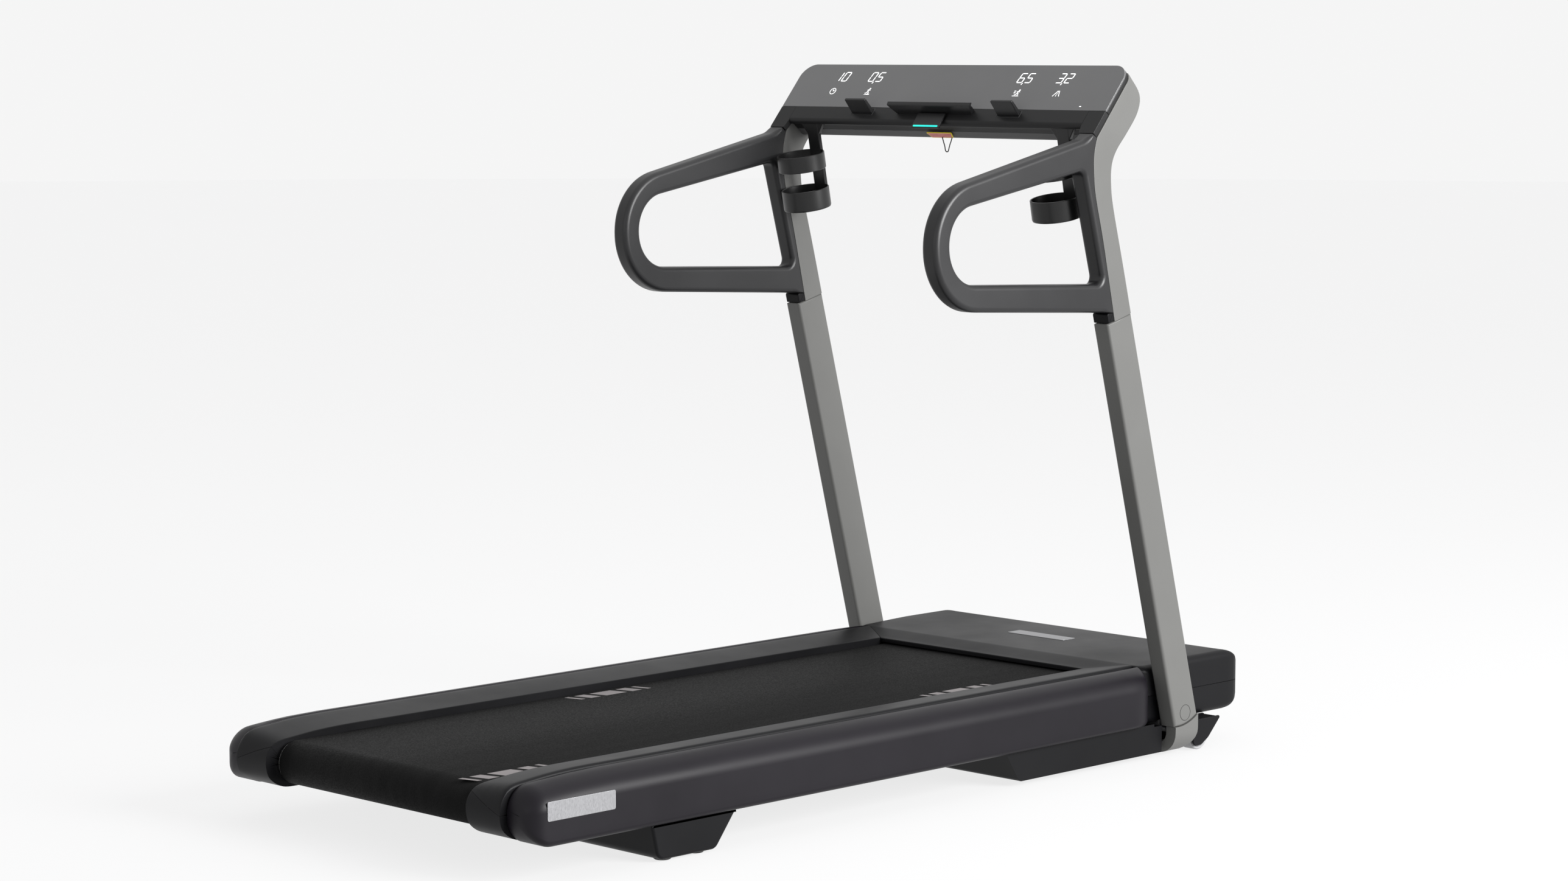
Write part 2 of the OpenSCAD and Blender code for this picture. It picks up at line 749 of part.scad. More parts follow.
module console_back_cover() {
    color([0.28, 0.28, 0.28]) difference() {
        along_x(-arm_in_x + 0.5, arm_in_x - 0.5) polygon(rounded(cover_outline, 8));
        along_x(-arm_in_x + 4, arm_in_x - 4) polygon(rounded(cover_cavity, 8));
        // everything that the face and its levers fill
        face_x(-arm_in_x, arm_in_x)
            polygon([[-face_t - 0.3, -60], [20, -60], [20, glass_h + 20], [-face_t - 0.3, glass_h + 20]]);
        for (x = [-lever_x, lever_x]) {
            face_x(x - 36, x + 36) polygon([[-26, 0], [0, 0], [0, -24], [-26, -24]]);
        }
        face_x(-38, 38) polygon([[-26, -6], [0, -6], [0, -26], [-26, -26]]);
        key_frame() box(-20.4, 20.4, -4.4, 4.4, -12, 12);
    }
}
module display_glass() {
    color([0.4, 0.4, 0.41]) face_frame() along_y(0, glass_t)
        polygon(rounded(concat([[-console_w / 2, 0.4, 2], [console_w / 2, 0.4, 2]],
            [[console_w / 2, glass_h, 31], [-console_w / 2, glass_h, 31]]), 8));
}
module display_board() {
    color("darkgreen") face_x(-300, 300) polygon([[-18, 16], [-16.4, 16], [-16.4, 84], [-18, 84]]);
    color("dimgray") for (x = [-240, -80, 80, 240]) {
        face_x(x - 4, x + 4) polygon([[-16.4, 46], [-face_t, 46], [-face_t, 54], [-16.4, 54]]);
    }
}
module tablet_shelf() {
    color([0.1, 0.1, 0.1]) difference() {
        face_x(-100, 100) polygon(rounded([[0.1, -3, 0], [12, -5.5, 2], [19, -8.5, 2], [21.5, -3.5, 1.2],
            [25, -5.5, 1.2], [23.5, -12.5, 2], [9, -12.8, 4], [0.1, -12.8, 0]]));
        // slanted ends
        both() face_frame() linear_extrude(60, center = true) polygon([[101, 1], [90, 1], [101, -25]]);
    }
}
module lever(x) {
    color([0.09, 0.09, 0.09]) difference() {
        face_x(x - lever_w / 2, x + lever_w / 2) {
            polygon(rounded([[-14, -5, 0], [2, -5.5, 20], [32, -3.5, 1.5],
                [32, -9, 1.5], [2, -15, 20], [-14, -15, 0]]));
            lever_axis() circle(6);
        }
        face_x(x - 30, x + 30) lever_axis() circle(lever_pin_r + run_gap);
    }
}
module incline_lever() {
    lever(-lever_x);
}
module speed_lever() {
    lever(lever_x);
}
module lever_pins() {
    color("silver") {
        for (x = [-lever_x, lever_x]) {
            face_x(x - 32, x + 32) lever_axis() circle(lever_pin_r);
        }
        face_x(-38, 38) paddle_axis() circle(paddle_pin_r);
    }
}
paddle_outline = [[1.6, -13.5, 1.5], [6, -15, 2], [4.6, -47, 2], [0, -48, 2], [1.6, -30, 10]];
module start_paddle() {
    color([0.1, 0.1, 0.1]) difference() {
        union() {
            face_x(-33, 33) polygon(rounded(paddle_outline));
            face_x(-33, 33) polygon([[3, -14], [3, -20], [paddle_n, -20], [paddle_n, -14.5]]);
            face_x(-33, 33) paddle_axis() circle(3.4);
        }
        face_x(-34, 34) paddle_axis() circle(paddle_pin_r + run_gap);
        start_light_shape();
    }
}
module start_light_shape() {
    face_x(-30, 30) polygon([[4, -42], [4, -45.5], [5, -45.5], [5.2, -42]]);
}
module start_light() {
    color([0, 0.9, 0.76]) start_light_shape();
}
module key_frame() {
    translate([0, key_y, key_z]) rotate([key_angle, 0, 0]) children();
}
module safety_key() {
    color([0.8, 0.25, 0.22]) key_frame() {
        box(-30, 30, -7, 7, -3.4, -1.4);
        box(-20, 20, -4, 4, -2, 8);
    }
}

// ---- lanyard: a loop that hangs from the safety key ----
lanyard_d = 2;
lanyard_route = [[1.5, 444, 1098.5], [2.6, 444, 1095.5], [4, 444, 1092], [5.5, 444, 1088.3], [7, 444, 1084.5],
    [8.2, 444, 1080.5], [8.8, 444, 1077.5], [9.8, 444, 1074.5], [12, 444, 1072.8], [14.6, 444, 1072.9],
    [16.6, 444, 1074.8], [17.4, 444, 1077.6], [18.2, 444, 1080.8], [19.6, 444, 1084.6], [21.2, 444, 1088.5],
    [22.8, 444, 1092], [24.3, 444, 1095.5], [25.3, 444, 1098.5]];
function lanyard_dir(i) = let (k = len(lanyard_route) - 1)
    unit(lanyard_route[min(i + 1, k)] - lanyard_route[max(i - 1, 0)]);
module tube(route, d, sides = 8) {
    across = [0, 1, 0];
    count = len(route);
    points = [for (i = [0:count - 1]) let (side = cross(across, lanyard_dir(i)))
        for (j = [0:sides - 1]) route[i] + d / 2 * (cos(360 * j / sides) * side + sin(360 * j / sides) * across)];
    walls = [for (i = [0:count - 2]) for (j = [0:sides - 1]) let (a = i * sides, k = (j + 1) % sides)
        [a + j, a + j + sides, a + k + sides, a + k]];
    polyhedron(points, concat([[for (j = [0:sides - 1]) j]], walls,
        [[for (j = [sides - 1:-1:0]) (count - 1) * sides + j]]));
}
module safety_lanyard() {
    color([0.05, 0.05, 0.05]) tube(lanyard_route, lanyard_d);
}

// ---- bottle holders ----
module bottle_holder() {
    difference() {
        translate([holder_x, 397, 1033]) rotate([holder_lean, 0, 0]) difference() {
            union() {
                translate([0, 0, 2]) cylinder(h = 30, r = holder_r);
                translate([0, 0, -71]) cylinder(h = 38, r = holder_r);
                // strap that joins the rings and hangs them from the console
                box(-14, 14, holder_r - 6, holder_r + 3, -71, 84);
                along_y(holder_r - 4, holder_r + 6) polygon([[-32, 90], [32, 90], [14, 64], [-14, 64]]);
            }
            translate([0, 0, -68]) cylinder(h = 102, r = holder_r - 2.6);
        }
        along_x(-400, 400) polygon(rounded(cover_outline, 8));
        face_x(0, 400) polygon([[-40, 0], [20, 0], [20, -40], [-face_t, -40], [-40, -20]]);
    }
}
module bottle_holders() {
    color([0.08, 0.08, 0.08]) both() bottle_holder();
}

frame_rails();
frame_crossmembers();
rear_foot();
rear_foot_pads();
belly_pan();
deck_board();
deck_cushions();
deck_screws();
running_belt();
left_top_rail();
right_top_rail();
left_side_panel();
right_side_panel();
end_caps();
hood();
front_lower_cover();
badge_plates();
front_roller();
roller_pulley();
rear_roller();
roller_axles();
motor_case();
motor_bracket();
motor_rotor();
drive_belt();
motor_controller();
power_inlet();
power_switch();
lift_motor();
lift_screw_tube();
lift_pivot_shaft();
lift_pivot_tube();
lift_arms();
lift_axle();
wheel_guards();
left_wheel();
right_wheel();
left_upright();
right_upright();
upright_feet();
clamp_bolts();
bolt_caps();
left_upper_arm();
right_upper_arm();
left_handle();
right_handle();
handle_end_blocks();
console_face();
console_back_cover();
display_glass();
display_board();
tablet_shelf();
incline_lever();
speed_lever();
lever_pins();
start_paddle();
start_light();
safety_key();
safety_lanyard();
bottle_holders();
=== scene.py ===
import math

import bmesh
import bpy
from mathutils import Matrix, Vector


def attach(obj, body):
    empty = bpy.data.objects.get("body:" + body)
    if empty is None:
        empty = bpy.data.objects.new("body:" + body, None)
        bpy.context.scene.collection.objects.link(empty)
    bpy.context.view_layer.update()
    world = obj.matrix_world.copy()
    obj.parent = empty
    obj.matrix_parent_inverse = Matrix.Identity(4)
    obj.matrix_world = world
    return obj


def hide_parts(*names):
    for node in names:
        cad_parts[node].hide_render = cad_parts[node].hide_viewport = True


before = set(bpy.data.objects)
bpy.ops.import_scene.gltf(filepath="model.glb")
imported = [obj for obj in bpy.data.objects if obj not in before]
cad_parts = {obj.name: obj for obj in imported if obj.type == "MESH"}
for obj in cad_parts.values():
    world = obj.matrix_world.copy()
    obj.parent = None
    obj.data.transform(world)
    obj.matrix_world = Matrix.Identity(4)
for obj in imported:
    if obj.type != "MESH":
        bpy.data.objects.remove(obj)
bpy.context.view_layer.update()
MM = 0.001


# ---------------------------------------------------------------- camera
def aim(direction, up=Vector((0, 0, 1))):
    back = -Vector(direction).normalized()
    right = up.cross(back).normalized()
    return Matrix((right, back.cross(right), back)).transposed().to_euler()


camera_data = bpy.data.cameras.new("camera")
camera_data.lens = 85.0
camera_data.sensor_width = 36.0
camera_data.clip_end = 60
camera = bpy.data.objects.new("camera", camera_data)
camera.location = (4.4956, -4.4503, 1.2545)
YAW, DROP = math.pi / 4, math.radians(6.03)
camera.rotation_euler = aim((-math.sin(YAW) * math.cos(DROP), math.cos(YAW) * math.cos(DROP), -math.sin(DROP)))
bpy.context.scene.collection.objects.link(camera)
bpy.context.scene.camera = camera


# ---------------------------------------------------------------- outlines, all in millimetres
def rounded(points, n=8):
    """Closed outline of (p, q, corner radius) as (p, q) points with true arcs at the corners."""
    out = []
    for i, b in enumerate(points):
        a, c = points[i - 1], points[(i + 1) % len(points)]
        a2, b2, c2 = (Vector(v[:2]) for v in (a, b, c))
        r = b[2] if len(b) > 2 else 0
        if r <= 0:
            out.append(tuple(b2))
            continue
        u, v = (a2 - b2).normalized(), (c2 - b2).normalized()
        half = math.acos(max(-1, min(1, u.dot(v)))) / 2
        o = b2 + (u + v).normalized() * r / math.sin(half)
        s, e = b2 + u * r / math.tan(half), b2 + v * r / math.tan(half)
        a0 = math.atan2(s.y - o.y, s.x - o.x)
        turn = (math.atan2(e.y - o.y, e.x - o.x) - a0 + math.pi) % (2 * math.pi) - math.pi
        for k in range(n + 1):
            t = a0 + turn * k / n
            out.append((o.x + r * math.cos(t), o.y + r * math.sin(t)))
    return out


def box2(p0, q0, p1, q1, r):
    return [(p0, q0, r), (p1, q0, r), (p1, q1, r), (p0, q1, r)]


def is_ccw(o):
    return sum(o[i - 1][0] * o[i][1] - o[i][0] * o[i - 1][1] for i in range(len(o))) > 0


def inset(outline, d):
    """Outline moved in by d, one number or one per point. Counter-clockwise outlines shrink."""
    n = len(outline)
    out = []
    for i in range(n):
        a, b, c = (Vector(outline[j % n]) for j in (i - 1, i, i + 1))
        e1, e2 = b - a, c - b
        if e1.length < 1e-6:
            e1 = e2
        if e2.length < 1e-6:
            e2 = e1
        e1, e2 = e1.normalized(), e2.normalized()
        n1, n2 = Vector((-e1.y, e1.x)), Vector((-e2.y, e2.x))
        m = (n1 + n2) / max(0.35, 1 + n1.dot(n2))
        w = d[i] if isinstance(d, (list, tuple)) else d
        out.append((b.x + m.x * w, b.y + m.y * w))
    return out


def ease(t):
    t = max(0.0, min(1.0, t))
    return t * t * (3 - 2 * t)


def curve_through(points, per=6):
    """Smooth open line through (p, q) points."""
    out = []
    n = len(points)
    for i in range(n - 1):
        p = [Vector(points[max(0, min(n - 1, i + k))]) for k in (-1, 0, 1, 2)]
        for k in range(per):
            t = k / per
            square = (2 * p[0] - 5 * p[1] + 4 * p[2] - p[3]) * t * t
            cube = (3 * p[1] - p[0] - 3 * p[2] + p[3]) * t ** 3
            out.append(tuple(0.5 * (2 * p[1] + (p[2] - p[0]) * t + square + cube)))
    out.append(tuple(points[-1]))
    return out


def along_x(p, q, t):
    return (t, p, q)


def along_z(p, q, t):
    return (p, q, t)


TILT = math.radians(40)
FACE_Y, FACE_Z = 432, 1150  # lower edge of the glass


def face(n, s, x=0):
    """A point of the console face: n out of it, s up it from the lower edge of the glass."""
    y = FACE_Y - math.cos(TILT) * n + math.sin(TILT) * s
    return (x, y, FACE_Z + math.sin(TILT) * n + math.cos(TILT) * s)


def face_x(p, q, t):
    return face(p, q, t)


def face_out(p, q, t):
    return face(t, q, p)


LEAN = math.radians(15)
CLAMP_Y, CLAMP_Z = 665, 77.6


def lean(x, u, v):
    """A point of an upright: u across it, v along it from the clamp bolt."""
    y = CLAMP_Y + u * math.cos(LEAN) - v * math.sin(LEAN)
    return (x, y, CLAMP_Z + u * math.sin(LEAN) + v * math.cos(LEAN))


def make(name, shape, mat, body="base", replaces=(), sharp=35, bevel=0.0, both=False, weighted=True):
    """One piece from (verts in mm, faces); both adds its mirror image as the left one."""
    verts, faces = shape
    obs = []
    for side in ((1, -1) if both else (1,)):
        me = bpy.data.meshes.new(name)
        me.from_pydata([(v[0] * side * MM, v[1] * MM, v[2] * MM) for v in verts], [],
                       [f if side == 1 else list(reversed(f)) for f in faces])
        bm = bmesh.new()
        bm.from_mesh(me)
        bmesh.ops.remove_doubles(bm, verts=bm.verts, dist=2e-6)
        bmesh.ops.dissolve_degenerate(bm, edges=bm.edges, dist=1e-6)
        bmesh.ops.recalc_face_normals(bm, faces=bm.faces)
        bm.to_mesh(me)
        bm.free()
        me.polygons.foreach_set("use_smooth", [True] * len(me.polygons))
        me.set_sharp_from_angle(angle=math.radians(sharp))
        me.materials.append(mat)
        label = name if not both else ("right_" if side == 1 else "left_") + name
        ob = bpy.data.objects.new(label, me)
        bpy.context.scene.collection.objects.link(ob)
        if bevel:
            m = ob.modifiers.new("edges", "BEVEL")
            m.width, m.segments, m.limit_method, m.angle_limit = bevel * MM, 3, "ANGLE", math.radians(40)
            m.use_clamp_overlap = True
        if weighted:
            m = ob.modifiers.new("normals", "WEIGHTED_NORMAL")
            m.keep_sharp = True
        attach(ob, body if not body.startswith("right_") or side == 1 else body.replace("right_", "left_"))
        for node in replaces:
            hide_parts(node.replace("right_", "left_") if side == -1 else node)
        obs.append(ob)
    return obs


def merge(*shapes):
    verts, faces = [], []
    for v, f in shapes:
        k = len(verts)
        verts += list(v)
        faces += [[i + k for i in face_] for face_ in f]
    return verts, faces


def grid(rows, wrap=False, around=False, caps=(False, False)):
    """Faces between rows of points. wrap closes each row, around joins the last row to the first."""
    n = len(rows[0])
    verts = [p for r in rows for p in r]
    faces = []
    count = len(rows) if around else len(rows) - 1
    for i in range(count):
        j = (i + 1) % len(rows)
        for k in range(n if wrap else n - 1):
            m = (k + 1) % n
            faces.append([i * n + k, i * n + m, j * n + m, j * n + k])
    if caps[0]:
        faces.append(list(range(n - 1, -1, -1)))
    if caps[1]:
        faces.append([(len(rows) - 1) * n + k for k in range(n)])
    return verts, faces


def slab(outline, a, b, r, place, n=4):
    """Closed outline between a and b with both rims rounded by r, one number or one per point."""
    o = list(outline) if is_ccw(outline) else list(reversed(outline))
    if isinstance(r, (list, tuple)) and not is_ccw(outline):
        r = list(reversed(r))
    rows = []
    rr = r if isinstance(r, (list, tuple)) else [r] * len(o)
    for end, way in ((a, 1), (b, -1)):
        steps = range(n + 1) if way == 1 else range(n, -1, -1)
        for k in steps:
            phi = math.pi / 2 * k / n
            ring = inset(o, [q * (1 - math.sin(phi)) for q in rr])
            rows.append([place(p[0], p[1], end + way * q * (1 - math.cos(phi))) for p, q in zip(ring, rr)])
    return grid(rows, wrap=True, caps=(True, True))


def lathe(profile, place, n=64, whole=True):
    """(radius, t) profile turned about an axis; place(p, q, t) puts the circle."""
    rows = [[place(r * math.cos(2 * math.pi * k / n), r * math.sin(2 * math.pi * k / n), t) for k in range(n)]
            for r, t in profile]
    return grid(rows, wrap=True, around=whole)


def tube(points, r, n=10, ends=True):
    """Round tube through points in mm."""
    pts = [Vector(p) for p in points]
    rows = []
    side = None
    for i, p in enumerate(pts):
        d = (pts[min(i + 1, len(pts) - 1)] - pts[max(i - 1, 0)]).normalized()
        if side is None:
            side = d.orthogonal().normalized()
        side = (side - d * side.dot(d)).normalized()
        up = d.cross(side)
        rows.append([tuple(p + r * (math.cos(2 * math.pi * k / n) * side + math.sin(2 * math.pi * k / n) * up))
                     for k in range(n)])
    return grid(rows, wrap=True, caps=(ends, ends))


# ---------------------------------------------------------------- materials
def material(name, color, rough, spec=0.5, metal=0.0):
    """Principled material with its nodes; returns (material, nodes, links, shader)."""
    m = bpy.data.materials.new(name)
    m.use_nodes = True
    n, l = m.node_tree.nodes, m.node_tree.links
    s = n["Principled BSDF"]
    s.inputs["Base Color"].default_value = (*color, 1)
    s.inputs["Roughness"].default_value = rough
    s.inputs["Specular IOR Level"].default_value = spec
    s.inputs["Metallic"].default_value = metal
    return m, n, l, s


def noise(n, l, scale, detail=3, rough=0.5, stretch=None):
    c = n.new("ShaderNodeTexCoord")
    t = n.new("ShaderNodeTexNoise")
    t.inputs["Scale"].default_value = scale
    t.inputs["Detail"].default_value = detail
    t.inputs["Roughness"].default_value = rough
    if stretch:
        m = n.new("ShaderNodeMapping")
        m.inputs["Scale"].default_value = stretch
        l.new(c.outputs["Object"], m.inputs["Vector"])
        l.new(m.outputs["Vector"], t.inputs["Vector"])
    else:
        l.new(c.outputs["Object"], t.inputs["Vector"])
    return t


def spread(n, l, source, low, high, a=0.0, b=1.0):
    r = n.new("ShaderNodeMapRange")
    r.inputs["From Min"].default_value = low
    r.inputs["From Max"].default_value = high
    r.inputs["To Min"].default_value = a
    r.inputs["To Max"].default_value = b
    l.new(source, r.inputs["Value"])
    return r.outputs["Result"]


def tint(n, l, factor, dark, light, socket):
    r = n.new("ShaderNodeMix")
    r.data_type = "RGBA"
    r.inputs["A"].default_value = (*dark, 1)
    r.inputs["B"].default_value = (*light, 1)
    l.new(factor, r.inputs["Factor"])
    l.new(r.outputs["Result"], socket)


def bump(n, l, s, heights, distance):
    """Bump from one or more (height socket, strength) in a chain."""
    last = None
    for h, k in heights:
        b = n.new("ShaderNodeBump")
        b.inputs["Distance"].default_value = distance
        b.inputs["Strength"].default_value = k
        l.new(h, b.inputs["Height"])
        if last:
            l.new(last, b.inputs["Normal"])
        last = b.outputs["Normal"]
    l.new(last, s.inputs["Normal"])


def plastic(name, color, rough, grain=900, depth=0.00006, spread_c=0.12, spread_r=0.06, spec=0.5):
    """Moulded or powder-coated surface: fine grain, slow drift of tone and of gloss."""
    m, n, l, s = material(name, color, rough, spec)
    slow = noise(n, l, 3.2, 4, 0.6)
    fine = noise(n, l, grain, 2, 0.5)
    tint(n, l, spread(n, l, slow.outputs["Fac"], 0.35, 0.65), [c * (1 - spread_c) for c in color],
         [c * (1 + spread_c) for c in color], s.inputs["Base Color"])
    l.new(spread(n, l, slow.outputs["Fac"], 0.3, 0.7, rough - spread_r, rough + spread_r),
          s.inputs["Roughness"])
    bump(n, l, s, [(fine.outputs["Fac"], 0.5)], depth)
    return m


def metal(name, color, rough, stretch=(1, 1, 1), scale=220):
    m, n, l, s = material(name, color, rough, 0.5, 1.0)
    t = noise(n, l, scale, 3, 0.6, stretch)
    l.new(spread(n, l, t.outputs["Fac"], 0.3, 0.7, rough - 0.08, rough + 0.1), s.inputs["Roughness"])
    tint(n, l, spread(n, l, t.outputs["Fac"], 0.3, 0.7), [c * 0.9 for c in color], color,
         s.inputs["Base Color"])
    bump(n, l, s, [(t.outputs["Fac"], 0.2)], 0.0001)
    return m


black_cover = plastic("black_cover", (0.0032, 0.0032, 0.0038), 0.42, spec=0.12)
panel_dark = plastic("panel_dark", (0.0034, 0.0026, 0.0044), 0.42, grain=1400, spec=0.19)
console_black = plastic("console_black", (0.008, 0.008, 0.0084), 0.42, spec=0.2)
upright_grey = plastic("upright_grey", (0.09, 0.09, 0.0868), 0.42, grain=1300, spread_c=0.03, spec=0.25)
handle_grey = plastic("handle_grey", (0.0105, 0.0105, 0.0112), 0.38, grain=1100, spread_c=0.05, spec=0.3)
cover_grey = plastic("cover_grey", (0.065, 0.065, 0.066), 0.5, spread_c=0.06, spec=0.25)
lever_black = plastic("lever_black", (0.0075, 0.0075, 0.008), 0.36, spec=0.3)
cup_black = plastic("cup_black", (0.006, 0.006, 0.0062), 0.34, depth=0.00004, spec=0.35)
rubber_black = plastic("rubber_black", (0.012, 0.012, 0.012), 0.8, grain=500, depth=0.0001)
wheel_grey = plastic("wheel_grey", (0.22, 0.22, 0.225), 0.6)
zinc = metal("zinc_steel", (0.62, 0.62, 0.6), 0.33, (1, 1, 12))
badge_metal = metal("badge_metal", (0.3, 0.3, 0.31), 0.42, (1, 8, 1))
frame_steel = plastic("frame_steel", (0.02, 0.02, 0.021), 0.45, grain=600)


def belt_material():
    """Moulded running belt: close pebbles, a slight sheen and faint tracks along its length."""
    m, n, l, s = material("belt_rubber", (0.0052, 0.0052, 0.0052), 0.62, 0.05)
    c = n.new("ShaderNodeTexCoord")
    v = n.new("ShaderNodeTexVoronoi")
    v.feature = "SMOOTH_F1"
    v.inputs["Scale"].default_value = 420
    l.new(c.outputs["Object"], v.inputs["Vector"])
    tracks = noise(n, l, 14, 3, 0.6, (3.0, 0.12, 1))
    fine = noise(n, l, 1500, 2)
    tint(n, l, spread(n, l, tracks.outputs["Fac"], 0.3, 0.7), (0.0042,) * 3, (0.0064,) * 3,
         s.inputs["Base Color"])
    l.new(spread(n, l, v.outputs["Distance"], 0.0, 0.6, 0.5, 0.75), s.inputs["Roughness"])
    bump(n, l, s, [(v.outputs["Distance"], 0.55), (fine.outputs["Fac"], 0.2)], 0.0004)
    return m


belt_rubber = belt_material()


def glass_material():
    m, n, l, s = material("display_glass", (0.088, 0.088, 0.09), 0.16, 0.35)
    s.inputs["Coat Weight"].default_value = 0.35
    s.inputs["Coat Roughness"].default_value = 0.05
    t = noise(n, l, 5, 4, 0.6)
    l.new(spread(n, l, t.outputs["Fac"], 0.3, 0.7, 0.13, 0.2), s.inputs["Roughness"])
    tint(n, l, spread(n, l, t.outputs["Fac"], 0.3, 0.7), (0.085, 0.085, 0.087), (0.093, 0.093, 0.095),
         s.inputs["Base Color"])
    return m


display_glass = glass_material()


def lit(name, color, power):
    m, n, l, s = material(name, color, 0.4)
    s.inputs["Emission Color"].default_value = (*color, 1)
    s.inputs["Emission Strength"].default_value = power
    t = noise(n, l, 300, 2)
    tint(n, l, t.outputs["Fac"], [c * 0.95 for c in color], color, s.inputs["Base Color"])
    return m


digit_white = lit("digit_white", (0.92, 0.93, 0.93), 0.75)
light_teal = lit("light_teal", (0.0, 0.8, 0.56), 0.9)
mark_white = plastic("mark_white", (0.125, 0.113, 0.114), 0.6, grain=700, depth=0.0002)


def wood_material():
    m, n, l, s = material("board_wood", (0.03, 0.024, 0.02), 0.5)
    t = noise(n, l, 30, 5, 0.6, (6, 0.6, 6))
    tint(n, l, spread(n, l, t.outputs["Fac"], 0.3, 0.7), (0.022, 0.017, 0.014), (0.036, 0.029, 0.024),
         s.inputs["Base Color"])
    bump(n, l, s, [(t.outputs["Fac"], 0.3)], 0.0002)
    return m


def red_tag():
    m, n, l, s = material("key_red", (0.72, 0.2, 0.19), 0.35)
    s.inputs["Transmission Weight"].default_value = 0.35
    t = noise(n, l, 90, 3)
    tint(n, l, spread(n, l, t.outputs["Fac"], 0.3, 0.7), (0.68, 0.17, 0.16), (0.78, 0.25, 0.235),
         s.inputs["Base Color"])
    return m


key_red = red_tag()
key_yellow = plastic("key_yellow", (0.75, 0.6, 0.03), 0.4, spread_c=0.05)
board_wood = wood_material()
board_green = plastic("board_green", (0.02, 0.12, 0.05), 0.4, grain=300)
switch_red = plastic("switch_red", (0.35, 0.02, 0.02), 0.25)


def cord_material():
    """Braided cord: crossed diagonal ribs round its length."""
    m, n, l, s = material("cord_black", (0.006, 0.006, 0.006), 0.75)
    c = n.new("ShaderNodeTexCoord")
    w = n.new("ShaderNodeTexWave")
    w.bands_direction = "DIAGONAL"
    w.inputs["Scale"].default_value = 700
    l.new(c.outputs["Object"], w.inputs["Vector"])
    tint(n, l, w.outputs["Fac"], (0.004, 0.004, 0.004), (0.012, 0.012, 0.012), s.inputs["Base Color"])
    bump(n, l, s, [(w.outputs["Fac"], 0.6)], 0.0002)
    return m


cord_black = cord_material()

# ---------------------------------------------------------------- lanyard of the safety key
# (x, z) along the loop, all at one y, from the left hole of the key to the right one
lanyard_route = [(x, 444, z) for x, z in (
    (1.5, 1098.5), (2.6, 1095.5), (4, 1092), (5.5, 1088.3), (7, 1084.5), (8.2, 1080.5), (8.8, 1077.5),
    (9.8, 1074.5), (12, 1072.8), (14.6, 1072.9), (16.6, 1074.8), (17.4, 1077.6), (18.2, 1080.8), (19.6, 1084.6),
    (21.2, 1088.5), (22.8, 1092), (24.3, 1095.5), (25.3, 1098.5))]
lanyard = make("lanyard", tube(lanyard_route, 0.95, 12), cord_black, "safety_key", ["safety_lanyard"])[0]

# ---------------------------------------------------------------- running belt
BELT_Z, ROLLER_Z, ROLLER_R = 143, 107, 32.7
REAR_ROLLER_Y, FRONT_ROLLER_Y = -830, 625


def belt_shape():
    outer = []
    for y0, a0 in ((REAR_ROLLER_Y, 90), (FRONT_ROLLER_Y, 270)):
        outer += [(y0, math.radians(a0 + 180 * k / 48)) for k in range(49)]
    r_in, r_out = ROLLER_R + 0.3, ROLLER_R + 3.3
    right = [(239.6, r_in), (240, r_in + 0.4), (240, r_out - 0.6), (239.4, r_out)]
    rows = []
    for x, r in [(-x, r) for x, r in reversed(right)] + right:
        rows.append([(x, y0 + r * math.cos(a), ROLLER_Z + r * math.sin(a)) for y0, a in outer])
    return grid(rows, wrap=True, around=True)


make("running_belt", belt_shape(), belt_rubber, "base", ["running_belt"], sharp=50,
     weighted=False)


def bars(x0, x1, middle):
    """A printed mark: a wide bar across the belt with two narrower ones on each side of it."""
    skew, lift = 10, BELT_Z + 0.05
    shapes = []
    for y0, y1 in ((-82, -73), (-59.5, -37), (-24, 24), (37, 59.5), (73, 82)):
        y0, y1 = middle + y0 - skew / 2, middle + y1 - skew / 2
        v = [(x0, y0, lift), (x1, y0 + skew, lift), (x1, y1 + skew, lift), (x0, y1, lift)]
        w = [(p[0], p[1], BELT_Z - 0.05) for p in v]
        sides = [[k, k + 4, (k + 1) % 4 + 4, (k + 1) % 4] for k in range(4)]
        shapes.append((v + w, [[0, 1, 2, 3], [7, 6, 5, 4]] + sides))
    return merge(*shapes)


# ---------------------------------------------------------------- rails over the edges of the belt
RAIL_Z, RAIL_IN, RAIL_OUT = 153, 249, 327
NOSE = curve_through([(-640, RAIL_Z), (-719, RAIL_Z), (-778, 151), (-825, 147), (-854, 144), (-870, 139),
                      (-879, 131), (-885, 120), (-886, 106), (-882, 90), (-874, 80), (-860, 71), (-843, 66.5),
                      (-812, 66)], 5)
# (x, height above the edge at the belt) across the top of a rail
CREST = [(RAIL_IN, 0), (249.6, 0.7), (251, 1.1), (262, 2.6), (280, 5.2), (300, 7.9), (314, 9.4), (320, 9.9),
         (323, 9.6), (325.4, 8.4), (326.7, 6.4), (RAIL_OUT, 4)]


